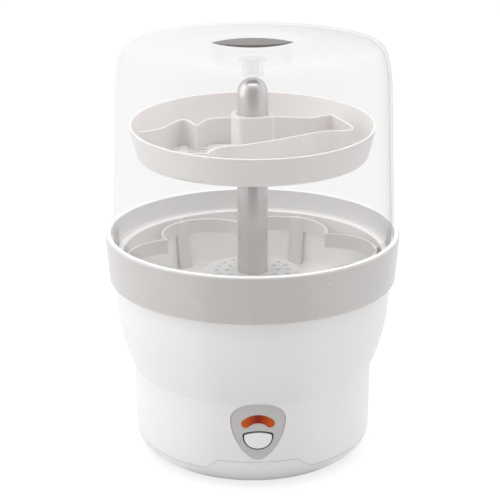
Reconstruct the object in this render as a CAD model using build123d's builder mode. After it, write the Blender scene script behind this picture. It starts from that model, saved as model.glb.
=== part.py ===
from build123d import *
import math
import os

# Steam bottle sterilizer: a heated base, a rack with a collar and a column, a small parts
# tray on the column, and a clear lid. Millimetres, +Z up. The origin is on the surface that
# the feet stand on, on the column's axis. The front, with the button, faces -Y.

# Reach of the cuts through the front or the back, past everything else
front_limit = 150.0
cut_margin = 1.0

# Clearances shared by the pieces
seat_gap = 0.3
running_clearance = 0.08
screw_clearance = 0.05
panel_gap = 0.25
facing_gap = 0.4

# Base: outer shell
foot_drop = 1.5
base_foot_radius = 98.5
pan_corner_radius = 17.0
waist_height = 73.6
waist_radius = 99.0
flare_bulge = 3.2
housing_height = 164.1
housing_wall = 2.6
spigot_height = 14.6
spigot_step = 0.9
spigot_wall = 2.2

# Base: bottom pan with its raised front tab
pan_floor = 2.5
seam_height = 15.4
seam_gap = 0.3
tab_rise = 9.0
tab_half_width = 31.0
tab_slope_width = 11.0
tab_corner_radius = 5.0

# Feet and pan screws
foot_radius = 7.0
foot_circle_radius = 66.0
foot_pocket_depth = 2.5
foot_pocket_wall = 2.0
foot_edge_radius = 0.8
pan_screw_circle_radius = 76.0
pan_screw_angle = 18.0
pan_pillar_radius = 6.0
pan_pillar_height = 6.5
pan_pillar_top = 2.0
screw_radius = 1.7
screw_length = 16.0
screw_head_radius = 3.8
screw_head_height = 2.6
boss_radius = 4.5
boss_height = 46.0
boss_web = 3.0
boss_web_start = 12.0

# Inner bowl
bowl_wall = 1.8
bowl_flange = 2.2
bowl_draft = 0.119
bowl_depth = 66.3
bowl_corner_radius = 14.0
bowl_opening_radius = 63.0

# Heating dish and what holds and heats it
seal_thickness = 1.8
seal_overlap = 7.0
seal_lip_height = 4.0
seal_lip_wall = 1.4
dish_sheet = 1.0
dish_flange_radius = 71.0
dish_well_radius = 58.0
dish_well_depth = 6.2
dish_well_slope = 2.0
clamp_ring_thickness = 1.5
clamp_ring_radius = 73.0
clamp_ring_bore = 61.0
clamp_screw_circle_radius = 79.0
clamp_ear_radius = 6.0
clamp_screw_radius = 1.5
clamp_screw_length = 4.8
clamp_screw_head_radius = 2.8
clamp_screw_head_height = 2.0
clamp_boss_radius = 4.0
spreader_radius = 50.0
spreader_thickness = 4.0
heater_ring_radius = 40.0
heater_tube_radius = 3.3
heater_gap_angle = 60.0
heater_tail_radius = 3.0
heater_tail_length = 8.0
heater_pin_radius = 1.2
heater_pin_length = 8.0
heater_seat = 1.0

# Thermostat and fuse under the spreader
thermostat_radius = 8.4
thermostat_cap_height = 5.0
thermostat_base_height = 4.0
thermostat_base_width = 16.0
bracket_length = 34.0
bracket_width = 9.0
bracket_sheet = 1.0
bracket_screw_pitch = 26.0
bracket_post_radius = 2.8
small_screw_radius = 1.2
small_screw_length = 3.4
small_screw_head_radius = 2.3
small_screw_head_height = 1.6
fuse_radius = 2.4
fuse_length = 16.0
fuse_offset = 22.0
fuse_clip_width = 7.0
fuse_clip_sheet = 0.8
fuse_clip_foot = 6.0

# Terminal block, leads and cord gland at the back
terminal_length = 32.0
terminal_depth = 15.0
terminal_height = 13.0
terminal_pitch = 9.0
terminal_screw_radius = 1.5
terminal_screw_length = 5.0
terminal_offset = 48.0
lead_radius = 1.2
lead_bend_radius = 7.0
lead_end_run = 21.0
board_lead_offset = 7.7
gland_height = 28.0
gland_radius = 6.0
gland_bore_radius = 3.7
gland_flange = 2.0
gland_lip = 2.0

# Front panel
panel_half_width = 21.5
panel_bottom = 27.0
panel_height = 47.4
panel_proud = 0.2
panel_recess_top = 1.1
panel_flange_overlap = 2.5
panel_flange_thickness = 1.8
panel_depth = 4.4
panel_widest_height = 34.0
panel_bottom_pull = 9.5
panel_side_pull = 16.0
panel_shoulder_pull = 8.5
panel_top_pull = 13.0
lens_half_width = 9.7
lens_above_panel_bottom = 30.4
lens_rise = 4.0
lens_width = 6.7
lens_proud = 0.4
lens_clearance = 0.1
lens_thickness = 4.0
button_half_width = 10.8
button_above_panel_bottom = 9.6
button_height = 13.2
button_crown = 2.2
button_side_bulge = 0.6
button_side_drop = 4.2
button_bottom_pull = 6.5
button_corner_radius = 1.2
button_dome_radius = 60.0
button_proud = 1.6
button_cap = 3.6
button_edge_radius = 0.8
button_travel = 2.5
button_gap = 0.3
button_seal_wall = 1.1
button_seal_depth = 4.0
button_seal_recess = 0.3
stem_radius = 2.6
stem_pin_radius = 1.4
spring_radius = 4.4
spring_wire_radius = 0.4
spring_coils = 4.0

# Control board behind the panel
board_width = 46.0
board_height = 42.0
board_thickness = 1.6
board_setback = 16.0
board_bottom = 27.0
board_post_radius = 3.0
board_post_bury = 0.9
board_post_spacing = 34.0
board_upper_post = 31.0
board_lower_post = 4.0
lamp_radius = 2.4
lamp_edge_radius = 2.1
lamp_length = 7.0
lamp_spacing = 15.0
switch_width = 12.0
switch_depth = 5.6

# Rack: collar, ledge and basket
collar_radius = 120.0
collar_skirt_wall = 6.1
collar_foot_inset = 2.7
collar_lip = 4.8
collar_above_ledge = 17.5
collar_skirt = 18.9
collar_edge_radius = 2.0
ledge_thickness = 2.2
basket_gap = 0.8
basket_wall = 2.0
basket_depth = 43.8
basket_corner_radius = 6.0
drain_slot_length = 18.0
drain_slot_width = 5.0
drain_slot_circle_radius = 64.0
drain_slot_count = 12
steam_hole_radius = 5.0
steam_hole_circle_radius = 27.0
steam_hole_count = 6

# Bottle guide
guide_lobes = 6
guide_turn = 4.5
guide_side_gap = 2.3
guide_lobe_radius = 40.5
guide_wall = 2.0
guide_band = 12.5
guide_below_ledge = 2.3
guide_post_width = 12.0
guide_post_depth = 7.0
guide_post_drop = 0.6
guide_rib = 2.4
guide_rib_height = 7.0
guide_rib_gap = 0.2

# Steam plate
plate_radius = 41.5
plate_step_inset = 5.5
plate_height = 25.5
plate_step = 2.6
plate_wall = 1.8
plate_edge_radius = 1.2
plate_hole_length = 4.4
plate_hole_width = 1.8
plate_inner_hole_radius = 21.0
plate_outer_hole_radius = 29.5
plate_inner_holes = 12
plate_outer_holes = 18

# Column and its screw
column_radius = 12.4
column_vent_gap = 1.8
column_dome = 15.0
column_wall = 2.2
column_base_radius = 18.0
column_base = 3.0
column_plug = 14.0
column_nib_width = 3.0
column_nib_reach = 2.2
column_nib_height = 4.0
column_screw_radius = 2.5
column_screw_length = 12.0
column_screw_head_radius = 7.0
column_screw_head_height = 2.6

# Tray
tray_height_on_column = 121.8
tray_lid_gap = 16.7
tray_depth = 27.9
tray_draft = 0.233
tray_wall = 2.0
tray_corner_radius = 7.0
tray_rim_fall = 4.5
hub_width = 31.0
hub_depth = 29.0
hub_height = 35.6
hub_chamfer = 3.0
hub_top_chamfer = 1.6
hub_turn = 10.0
divider_wall = 1.8
divider_below_rim = 4.5
tray_slot_length = 17.0
tray_slot_width = 3.4
tray_slot_pitch_x = 22.0
tray_slot_pitch_y = 9.0
tray_slot_columns = 3
tray_slot_rows = 7
tray_slot_hub_margin = 11.5

# Lid
lid_foot_gap = 2.8
lid_foot_height = 17.0
lid_step = 2.8
lid_step_height = 3.5
lid_wall = 2.0
lid_height = 173.3
lid_shoulder_height = 123.0
lid_shoulder_inset = 4.6
lid_barrel_pull = 0.6
lid_barrel_rise = 20.0
lid_crown_inset = 16.7
lid_crown_rise = 3.5
lid_corner_pull = 10.1
lid_corner_drop = 2.3
lid_crown_pull = 16.5
recess_radius = 33.5
recess_floor_radius = 31.0
recess_depth = 17.8

# Grip bar and steam vent in the lid's recess
grip_half_length = 32.0
grip_half_width = 16.0
grip_thickness = 5.6
grip_below_crown = 2.2
grip_crown_radius = 150.0
grip_pin_offset = 26.5
grip_pin_radius = 1.6
grip_pin_length = 4.5
grip_boss_radius = 3.4
vent_bore_radius = 4.5
vent_tube_radius = 8.2
vent_flange_radius = 11.0
vent_flange = 1.3
vent_length = 12.0
vent_edge_radius = 0.5

# Heights that follow from the sizes above
pan_inside = foot_drop + pan_floor
pan_pillar_height_top = foot_drop + pan_pillar_height
screw_seat = pan_pillar_height_top - pan_pillar_top
shoulder_height = housing_height - spigot_height
bowl_rim = housing_height + bowl_flange
bowl_bottom = bowl_rim - bowl_depth
ledge_bottom = bowl_rim + seat_gap
ledge_top = ledge_bottom + ledge_thickness
collar_top = ledge_top + collar_above_ledge
collar_foot = ledge_bottom - collar_skirt
basket_bottom = ledge_bottom - basket_depth
basket_inside = basket_bottom + basket_wall
seal_bottom = bowl_bottom - seal_thickness
dish_flange_bottom = seal_bottom - dish_sheet
dish_bottom = seal_bottom - dish_well_depth
clamp_ring_bottom = dish_flange_bottom - clamp_ring_thickness
spreader_bottom = dish_bottom - spreader_thickness
guide_top = ledge_top - guide_below_ledge
plate_top = basket_inside + plate_height
tray_bottom = basket_inside + tray_height_on_column
tray_inside = tray_bottom + tray_wall
tray_rim = tray_bottom + tray_depth
tray_rim_back = tray_rim + tray_rim_fall
lid_foot = ledge_top + seat_gap
lid_top = lid_foot + lid_height
recess_floor = lid_top - recess_depth
vent_bottom = recess_floor - vent_length
column_top = vent_bottom - column_vent_gap

# Radii that follow from the sizes above
shell_inner_radius = base_foot_radius - housing_wall
spigot_radius = collar_radius - collar_skirt_wall - spigot_step
shoulder_radius = spigot_radius - spigot_step
bowl_rim_radius = spigot_radius - spigot_wall - facing_gap
bowl_inner_rim_radius = bowl_rim_radius - bowl_wall
basket_rim_radius = bowl_inner_rim_radius - basket_gap
basket_inner_rim_radius = basket_rim_radius - basket_wall
collar_inner_radius = collar_radius - collar_lip
skirt_inner_radius = spigot_radius + spigot_step
lid_foot_radius = collar_inner_radius - lid_foot_gap
lid_radius = lid_foot_radius + lid_step
lid_crown_radius = lid_radius - lid_crown_inset
tray_radius = lid_radius - tray_lid_gap
tray_back_radius = tray_radius + tray_draft * tray_rim_fall
guide_circle_radius = basket_inner_rim_radius - guide_side_gap - guide_lobe_radius
guide_radius = guide_circle_radius + guide_lobe_radius

# Places along Y at the front, from the panel's face inwards
panel_face = -(base_foot_radius + panel_proud)
board_front = panel_face + board_setback
board_back = board_front + board_thickness
switch_face = board_front - switch_depth
button_face = panel_face - button_proud
button_back = button_face + button_cap
stem_end = switch_face - button_travel - seat_gap
pin_end = board_front - button_travel - seat_gap
button_middle = panel_bottom + button_above_panel_bottom + button_height / 2
lens_middle = panel_bottom + lens_above_panel_bottom + lens_rise / 2

# Angles of the screws, feet and guide lobes round the axis
pan_screw_angles = [half_turn + side * pan_screw_angle for half_turn in (0, 180) for side in (-1, 1)]
foot_angles = [45, 135, 225, 315]
guide_angles = [guide_turn + step * 360 / guide_lobes for step in range(guide_lobes)]


def around(radius, angles):
    """Places at one radius from the axis, one for each angle."""
    return [
        Location((radius * math.cos(math.radians(a)), radius * math.sin(math.radians(a)), 0), (0, 0, a))
        for a in angles
    ]


def outline(points):
    """Closed face through radius and height pairs, on the plane through the axis."""
    with BuildSketch(Plane.XZ) as section:
        with BuildLine():
            Polyline(*points, close=True)
        make_face()
    return section.sketch


def band(inner, outer, bottom, top):
    """Rectangle of a plain ring's section."""
    return outline([(inner, bottom), (outer, bottom), (outer, top), (inner, top)])


def cup_section(rim_radius, draft, top, bottom, corner):
    """Half section of a solid cup with a drafted wall and a rounded foot."""
    foot_radius_here = rim_radius - draft * (top - bottom)
    with BuildSketch(Plane.XZ) as section:
        with BuildLine():
            Polyline((0, bottom), (foot_radius_here, bottom), (rim_radius, top), (0, top), close=True)
        make_face()
        foot = section.vertices().sort_by_distance((foot_radius_here, bottom, 0))[0]
        fillet(foot, radius=corner)
    return section.sketch


def body_section(inset, bottom):
    """Half section of the base's body, from its floor to the shoulder, drawn in by an inset."""
    foot = (base_foot_radius - inset, bottom)
    waist = (waist_radius - inset, waist_height)
    shoulder = (shoulder_radius - inset, shoulder_height)
    bulge = (shoulder[0] + flare_bulge, (waist_height + shoulder_height) / 2)
    with BuildSketch(Plane.XZ) as section:
        with BuildLine():
            Line((0, bottom), foot)
            Line(foot, waist)
            Bezier(waist, bulge, shoulder)
            Line(shoulder, (0, shoulder_height))
            Line((0, shoulder_height), (0, bottom))
        make_face()
        corner = section.vertices().sort_by_distance((foot[0], foot[1], 0))[0]
        fillet(corner, radius=pan_corner_radius - inset)
    return section.sketch


def seam_zone(height):
    """Everything below the seam, with the raised tab at the front."""
    low = height
    high = height + tab_rise
    inner = tab_half_width
    outer = tab_half_width + tab_slope_width
    with BuildPart() as zone:
        with BuildSketch(Plane.XZ) as front:
            with BuildLine():
                Polyline(
                    (-front_limit, 0), (-front_limit, low), (-outer, low), (-inner, high),
                    (inner, high), (outer, low), (front_limit, low), (front_limit, 0), close=True,
                )
            make_face()
            bends = [v for v in front.vertices() if abs(v.X) < front_limit / 2]
            fillet(bends, radius=tab_corner_radius)
        extrude(amount=front_limit)
        with BuildSketch(Plane.XZ):
            with Locations((0, low / 2)):
                Rectangle(2 * front_limit, low)
        extrude(amount=-front_limit)
    return zone.part


def shield(grow=0.0):
    """Shield outline of the front panel, grown all round by a margin."""
    half = panel_half_width + grow
    low = panel_bottom - grow
    high = panel_bottom + panel_height + grow
    widest = panel_bottom + panel_widest_height
    side_low = (half, widest - panel_side_pull)
    side_high = (half, widest + panel_shoulder_pull)
    with BuildSketch(Plane.XZ) as face:
        with BuildLine() as right:
            Bezier((0, low), (panel_bottom_pull, low), side_low, (half, widest))
            Bezier((half, widest), side_high, (panel_top_pull, high), (0, high))
            mirror(right.line, about=Plane.YZ)
        make_face()
    return face.sketch


def crescent(grow=0.0):
    """Arched slot of the indicator lens, grown all round by a margin."""
    ends = panel_bottom + lens_above_panel_bottom
    with BuildLine(Plane.XY) as path:
        ThreePointArc((-lens_half_width, ends), (0, ends + lens_rise), (lens_half_width, ends))
    with BuildSketch(Plane.XZ) as face:
        SlotArc(path.line.edges()[0], lens_width + 2 * grow)
    return face.sketch


def button_shape(grow=0.0):
    """D-shaped outline of the button, grown all round by a margin."""
    half = button_half_width + grow
    low = panel_bottom + button_above_panel_bottom - grow
    high = low + button_height + 2 * grow
    corner = (half, high - button_crown)
    side = (half + button_side_bulge, low + button_side_drop)
    with BuildSketch(Plane.XZ) as face:
        with BuildLine() as right:
            Bezier((0, low), (button_bottom_pull, low), side, corner)
            mirror(right.line, about=Plane.YZ)
            ThreePointArc((-half, high - button_crown), (0, high), corner)
        make_face()
        corners = [v for v in face.vertices() if abs(v.X) > button_half_width / 2]
        fillet(corners, radius=button_corner_radius + grow)
    return face.sketch


def panel_plate(face, proud, depth):
    """Curved plate behind an outline, its face proud of the panel's face or, below zero, behind it."""
    low = panel_bottom - panel_flange_overlap
    high = panel_bottom + panel_height + panel_flange_overlap
    low_radius = base_foot_radius + panel_proud + proud
    high_radius = waist_radius - panel_recess_top + proud
    with BuildPart() as plate:
        extrude(face, amount=front_limit)
        revolve(
            outline([
                (low_radius - depth, low), (low_radius, low),
                (high_radius, high), (high_radius - depth, high),
            ]),
            axis=Axis.Z, mode=Mode.INTERSECT,
        )
    return plate.part


def lobed_disc(lobe_radius):
    """Union of the guide's lobes, seen from above, at the basket's floor."""
    with BuildSketch(Plane.XY.offset(basket_inside)) as disc:
        Circle(guide_circle_radius)
        with Locations(*around(guide_circle_radius, guide_angles)):
            Circle(lobe_radius)
    return disc.sketch


# Outer shell of the base
below_seam = seam_zone(seam_height)
with BuildPart() as base_housing:
    revolve(body_section(0, foot_drop), axis=Axis.Z)
    revolve(body_section(housing_wall, pan_inside), axis=Axis.Z, mode=Mode.SUBTRACT)
    add(below_seam, mode=Mode.SUBTRACT)
    revolve(band(spigot_radius - spigot_wall, spigot_radius, shoulder_height, housing_height), axis=Axis.Z)
    web_length = base_foot_radius - housing_wall / 2 - pan_screw_circle_radius
    with Locations(*around(pan_screw_circle_radius, pan_screw_angles)):
        boss_place = Locations((0, 0, pan_pillar_height_top))
        with boss_place:
            Cylinder(boss_radius, boss_height, align=(Align.CENTER, Align.CENTER, Align.MIN))
        with Locations((0, 0, pan_pillar_height_top + boss_web_start)):
            Box(
                web_length, boss_web, boss_height - boss_web_start,
                align=(Align.MIN, Align.CENTER, Align.MIN),
            )
        with boss_place:
            Cylinder(
                screw_radius + screw_clearance, screw_length, mode=Mode.SUBTRACT,
                align=(Align.CENTER, Align.CENTER, Align.MIN),
            )
    extrude(shield(panel_gap), amount=front_limit, mode=Mode.SUBTRACT)
    with BuildSketch(Plane.XZ):
        with Locations((0, gland_height)):
            Circle(gland_radius + screw_clearance)
    extrude(amount=-front_limit, mode=Mode.SUBTRACT)
base_housing.part.label = "base_housing"
export_step(base_housing.part, "parts/base_housing.step")

# Bottom pan with the raised front tab, foot pockets and screw pillars
pan_zone = seam_zone(seam_height - seam_gap)
with BuildPart() as base_pan:
    revolve(body_section(0, foot_drop), axis=Axis.Z)
    revolve(body_section(housing_wall, pan_inside), axis=Axis.Z, mode=Mode.SUBTRACT)
    add(pan_zone, mode=Mode.INTERSECT)
    with BuildSketch(Plane.XY.offset(foot_drop)):
        with Locations(*around(pan_screw_circle_radius, pan_screw_angles)):
            Circle(pan_pillar_radius)
    extrude(amount=pan_pillar_height)
    with BuildSketch(Plane.XY.offset(foot_drop)):
        with Locations(*around(foot_circle_radius, foot_angles)):
            Circle(foot_radius + foot_pocket_wall)
    extrude(amount=foot_pocket_depth + foot_pocket_wall)
    with BuildSketch(Plane.XY.offset(foot_drop)):
        with Locations(*around(foot_circle_radius, foot_angles)):
            Circle(foot_radius + running_clearance)
    extrude(amount=foot_pocket_depth, mode=Mode.SUBTRACT)
    with BuildSketch(Plane.XY.offset(foot_drop)):
        with Locations(*around(pan_screw_circle_radius, pan_screw_angles)):
            Circle(screw_head_radius + facing_gap)
    extrude(amount=pan_pillar_height - pan_pillar_top, mode=Mode.SUBTRACT)
    with BuildSketch(Plane.XY.offset(foot_drop)):
        with Locations(*around(pan_screw_circle_radius, pan_screw_angles)):
            Circle(screw_radius + screw_clearance)
    extrude(amount=pan_pillar_height, mode=Mode.SUBTRACT)
base_pan.part.label = "base_pan"
export_step(base_pan.part, "parts/base_pan.step")

# Rubber feet in the pan's pockets
with BuildPart() as rubber_feet:
    with BuildSketch():
        with Locations(*around(foot_circle_radius, foot_angles)):
            Circle(foot_radius)
    extrude(amount=foot_drop + foot_pocket_depth)
    chamfer(rubber_feet.edges().group_by(Axis.Z)[0], length=foot_edge_radius)
rubber_feet.part.label = "rubber_feet"
export_step(rubber_feet.part, "parts/rubber_feet.step")

# Screws that hold the pan to the housing's bosses
with BuildPart() as pan_screws:
    with BuildSketch(Plane.XY.offset(screw_seat - screw_head_height)):
        with Locations(*around(pan_screw_circle_radius, pan_screw_angles)):
            Circle(screw_head_radius)
    extrude(amount=screw_head_height)
    with BuildSketch(Plane.XY.offset(screw_seat)):
        with Locations(*around(pan_screw_circle_radius, pan_screw_angles)):
            Circle(screw_radius)
    extrude(amount=screw_length)
pan_screws.part.label = "pan_screws"
export_step(pan_screws.part, "parts/pan_screws.step")

# Inner bowl: holds the water and hangs by its flange on the housing
with BuildPart() as inner_bowl:
    revolve(cup_section(bowl_rim_radius, bowl_draft, bowl_rim, bowl_bottom, bowl_corner_radius), axis=Axis.Z)
    revolve(
        cup_section(
            bowl_inner_rim_radius, bowl_draft, bowl_rim, bowl_bottom + bowl_wall,
            bowl_corner_radius - bowl_wall,
        ),
        axis=Axis.Z, mode=Mode.SUBTRACT,
    )
    revolve(band(bowl_inner_rim_radius, spigot_radius, housing_height, bowl_rim), axis=Axis.Z)
    revolve(
        band(0, bowl_opening_radius, bowl_bottom, bowl_bottom + bowl_wall),
        axis=Axis.Z, mode=Mode.SUBTRACT,
    )
    with BuildSketch(Plane.XY.offset(dish_flange_bottom)):
        with Locations(*around(clamp_screw_circle_radius, foot_angles)):
            Circle(clamp_boss_radius)
    extrude(amount=bowl_bottom + bowl_wall / 2 - dish_flange_bottom)
    with BuildSketch(Plane.XY.offset(dish_flange_bottom)):
        with Locations(*around(clamp_screw_circle_radius, foot_angles)):
            Circle(clamp_screw_radius + screw_clearance)
    extrude(amount=clamp_screw_length - clamp_ring_thickness + screw_clearance, mode=Mode.SUBTRACT)
inner_bowl.part.label = "inner_bowl"
export_step(inner_bowl.part, "parts/inner_bowl.step")

# Silicone seal between the dish and the bowl, with a lip inside the opening
with BuildPart() as dish_seal:
    lip_outer = bowl_opening_radius - running_clearance
    lip_inner = lip_outer - seal_lip_wall
    revolve(band(lip_inner, bowl_opening_radius + seal_overlap, seal_bottom, bowl_bottom), axis=Axis.Z)
    revolve(band(lip_inner, lip_outer, seal_bottom, bowl_bottom + seal_lip_height), axis=Axis.Z)
dish_seal.part.label = "dish_seal"
export_step(dish_seal.part, "parts/dish_seal.step")

# Stainless heating dish
with BuildPart() as boiler_dish:
    well = dish_well_radius
    slope = dish_well_slope
    revolve(
        outline([
            (0, dish_bottom), (well, dish_bottom), (well + slope, dish_flange_bottom),
            (dish_flange_radius, dish_flange_bottom), (dish_flange_radius, seal_bottom),
            (well + slope - dish_sheet, seal_bottom), (well - dish_sheet, dish_bottom + dish_sheet),
            (0, dish_bottom + dish_sheet),
        ]),
        axis=Axis.Z,
    )
boiler_dish.part.label = "boiler_dish"
export_step(boiler_dish.part, "parts/boiler_dish.step")

# Ring that presses the dish's flange against the seal
with BuildPart() as dish_clamp_ring:
    with BuildSketch(Plane.XY.offset(clamp_ring_bottom)):
        Circle(clamp_ring_radius)
        with Locations(*around(clamp_screw_circle_radius, foot_angles)):
            Circle(clamp_ear_radius)
        Circle(clamp_ring_bore, mode=Mode.SUBTRACT)
        with Locations(*around(clamp_screw_circle_radius, foot_angles)):
            Circle(clamp_screw_radius + screw_clearance, mode=Mode.SUBTRACT)
    extrude(amount=clamp_ring_thickness)
dish_clamp_ring.part.label = "dish_clamp_ring"
export_step(dish_clamp_ring.part, "parts/dish_clamp_ring.step")

# Screws of the clamp ring
with BuildPart() as dish_screws:
    with BuildSketch(Plane.XY.offset(clamp_ring_bottom - clamp_screw_head_height)):
        with Locations(*around(clamp_screw_circle_radius, foot_angles)):
            Circle(clamp_screw_head_radius)
    extrude(amount=clamp_screw_head_height)
    with BuildSketch(Plane.XY.offset(clamp_ring_bottom)):
        with Locations(*around(clamp_screw_circle_radius, foot_angles)):
            Circle(clamp_screw_radius)
    extrude(amount=clamp_screw_length)
dish_screws.part.label = "dish_screws"
export_step(dish_screws.part, "parts/dish_screws.step")


# Aluminium disc that spreads the heat, with a groove for the heating element and two posts
bracket_top = spreader_bottom - thermostat_cap_height - thermostat_base_height
heater_axis = spreader_bottom - heater_tube_radius + heater_seat
heater_angles = [-90 + heater_gap_angle / 2, 270 - heater_gap_angle / 2]
bracket_screw_places = [(-bracket_screw_pitch / 2, 0), (bracket_screw_pitch / 2, 0)]
clip_screw_y = fuse_offset + fuse_radius + fuse_clip_sheet + fuse_clip_foot / 2
with BuildPart() as heat_spreader:
    revolve(band(0, spreader_radius, spreader_bottom, dish_bottom), axis=Axis.Z)
    with BuildSketch(Plane.XZ):
        with Locations((heater_ring_radius, heater_axis)):
            Circle(heater_tube_radius + screw_clearance)
    revolve(axis=Axis.Z, mode=Mode.SUBTRACT)
    with BuildSketch(Plane.XY.offset(bracket_top)):
        with Locations(*bracket_screw_places):
            Circle(bracket_post_radius)
    extrude(amount=spreader_bottom - bracket_top)
    with BuildSketch(Plane.XY.offset(bracket_top)):
        with Locations(*bracket_screw_places):
            Circle(small_screw_radius + screw_clearance)
    extrude(amount=small_screw_length, mode=Mode.SUBTRACT)
    with BuildSketch(Plane.XY.offset(spreader_bottom)):
        with Locations((0, clip_screw_y)):
            Circle(small_screw_radius + screw_clearance)
    extrude(amount=small_screw_length - fuse_clip_sheet + screw_clearance, mode=Mode.SUBTRACT)
heat_spreader.part.label = "heat_spreader"
export_step(heat_spreader.part, "parts/heat_spreader.step")

# Tubular heating element, open at the front, with its two ends turned down to the pins
heater_opening = [place.position for place in around(2 * heater_ring_radius, heater_angles)]
with BuildPart() as heating_element:
    with BuildSketch(Plane.XZ):
        with Locations((heater_ring_radius, heater_axis)):
            Circle(heater_tube_radius)
    revolve(axis=Axis.Z)
    with BuildSketch(Plane.XY.offset(heater_axis - heater_tube_radius)):
        with BuildLine():
            Polyline((0, 0), *heater_opening, close=True)
        make_face()
    extrude(amount=2 * heater_tube_radius, mode=Mode.SUBTRACT)
    with Locations(*around(heater_ring_radius, heater_angles)):
        with Locations((0, 0, heater_axis - heater_tail_length)):
            Cylinder(
                heater_tail_radius, heater_tail_length + heater_tube_radius / 2,
                align=(Align.CENTER, Align.CENTER, Align.MIN),
            )
            Cylinder(heater_pin_radius, heater_pin_length, align=(Align.CENTER, Align.CENTER, Align.MAX))
heating_element.part.label = "heating_element"
export_step(heating_element.part, "parts/heating_element.step")

# Thermostat: a metal cap against the spreader on a square base
with BuildPart() as thermostat:
    with BuildSketch(Plane.XY.offset(spreader_bottom - thermostat_cap_height)):
        Circle(thermostat_radius)
    extrude(amount=thermostat_cap_height)
    with BuildSketch(Plane.XY.offset(bracket_top)):
        Rectangle(thermostat_base_width, thermostat_base_width)
    extrude(amount=thermostat_base_height)
thermostat.part.label = "thermostat"
export_step(thermostat.part, "parts/thermostat.step")

# Strap under the thermostat
with BuildPart() as thermostat_bracket:
    with BuildSketch(Plane.XY.offset(bracket_top - bracket_sheet)):
        SlotOverall(bracket_length, bracket_width)
        with Locations(*bracket_screw_places):
            Circle(small_screw_radius + screw_clearance, mode=Mode.SUBTRACT)
    extrude(amount=bracket_sheet)
thermostat_bracket.part.label = "thermostat_bracket"
export_step(thermostat_bracket.part, "parts/thermostat_bracket.step")

# Thermal fuse across the spreader, behind the thermostat
with BuildPart() as thermal_fuse:
    with BuildSketch(Plane.YZ.offset(-fuse_length / 2)):
        with Locations((fuse_offset, spreader_bottom - fuse_radius)):
            Circle(fuse_radius)
    extrude(amount=fuse_length)
thermal_fuse.part.label = "thermal_fuse"
export_step(thermal_fuse.part, "parts/thermal_fuse.step")

# Clip that wraps the fuse, with a foot screwed to the spreader
with BuildPart() as fuse_clip:
    clip_bore = fuse_radius + running_clearance
    clip_radius = clip_bore + fuse_clip_sheet
    foot_end = clip_screw_y + fuse_clip_foot / 2
    with BuildSketch(Plane.YZ.offset(-fuse_clip_width / 2)):
        with Locations((fuse_offset, spreader_bottom - fuse_radius)):
            Circle(clip_radius)
        with Locations((fuse_offset, spreader_bottom)):
            Rectangle(2 * clip_radius, fuse_radius, align=(Align.CENTER, Align.MAX))
            Rectangle(foot_end - fuse_offset, fuse_clip_sheet, align=(Align.MIN, Align.MAX))
        with Locations((fuse_offset, spreader_bottom - fuse_radius)):
            Circle(clip_bore, mode=Mode.SUBTRACT)
        with Locations((fuse_offset, spreader_bottom)):
            Rectangle(2 * clip_bore, fuse_radius, align=(Align.CENTER, Align.MAX), mode=Mode.SUBTRACT)
            Rectangle(3 * clip_radius, clip_radius, align=(Align.CENTER, Align.MIN), mode=Mode.SUBTRACT)
    extrude(amount=fuse_clip_width)
    with BuildSketch(Plane.XY.offset(spreader_bottom - fuse_clip_sheet)):
        with Locations((0, clip_screw_y)):
            Circle(small_screw_radius + screw_clearance)
    extrude(amount=fuse_clip_sheet, mode=Mode.SUBTRACT)
fuse_clip.part.label = "fuse_clip"
export_step(fuse_clip.part, "parts/fuse_clip.step")

# Small screws of the bracket, the fuse clip and the control board
upper_post_height = board_bottom + board_upper_post
lower_post_height = board_bottom + board_lower_post
board_post_places = [
    (-board_post_spacing / 2, upper_post_height), (board_post_spacing / 2, upper_post_height),
    (0, lower_post_height),
]
with BuildPart() as small_screws:
    with BuildSketch(Plane.XY.offset(bracket_top - bracket_sheet - small_screw_head_height)):
        with Locations(*bracket_screw_places):
            Circle(small_screw_head_radius)
    extrude(amount=small_screw_head_height)
    with BuildSketch(Plane.XY.offset(bracket_top - bracket_sheet)):
        with Locations(*bracket_screw_places):
            Circle(small_screw_radius)
    extrude(amount=small_screw_length)
    with BuildSketch(Plane.XY.offset(spreader_bottom - fuse_clip_sheet - small_screw_head_height)):
        with Locations((0, clip_screw_y)):
            Circle(small_screw_head_radius)
    extrude(amount=small_screw_head_height)
    with BuildSketch(Plane.XY.offset(spreader_bottom - fuse_clip_sheet)):
        with Locations((0, clip_screw_y)):
            Circle(small_screw_radius)
    extrude(amount=small_screw_length)
    with BuildSketch(Plane.XZ.offset(-board_back - small_screw_head_height)):
        with Locations(*board_post_places):
            Circle(small_screw_head_radius)
    extrude(amount=small_screw_head_height)
    with BuildSketch(Plane.XZ.offset(-board_back)):
        with Locations(*board_post_places):
            Circle(small_screw_radius)
    extrude(amount=small_screw_length)
small_screws.part.label = "small_screws"
export_step(small_screws.part, "parts/small_screws.step")

# Terminal block on the pan's floor, where the leads meet the supply
terminal_places = [(step * terminal_pitch, terminal_offset) for step in (-1, 0, 1)]
terminal_top = pan_inside + terminal_height
lead_height = pan_inside + terminal_height / 2
with BuildPart() as terminal_block:
    with BuildSketch(Plane.XY.offset(pan_inside)):
        with Locations((0, terminal_offset)):
            Rectangle(terminal_length, terminal_depth)
    extrude(amount=terminal_height)
    with BuildSketch(Plane.XZ.offset(-terminal_offset - terminal_depth / 2)):
        with Locations((-terminal_pitch, lead_height), (0, lead_height), (terminal_pitch, lead_height)):
            Circle(lead_radius + screw_clearance)
    extrude(amount=terminal_depth, mode=Mode.SUBTRACT)
    with BuildSketch(Plane.XY.offset(terminal_top)):
        with Locations(*terminal_places):
            Circle(terminal_screw_radius + screw_clearance)
    extrude(amount=-terminal_screw_length, mode=Mode.SUBTRACT)
terminal_block.part.label = "terminal_block"
export_step(terminal_block.part, "parts/terminal_block.step")

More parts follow.
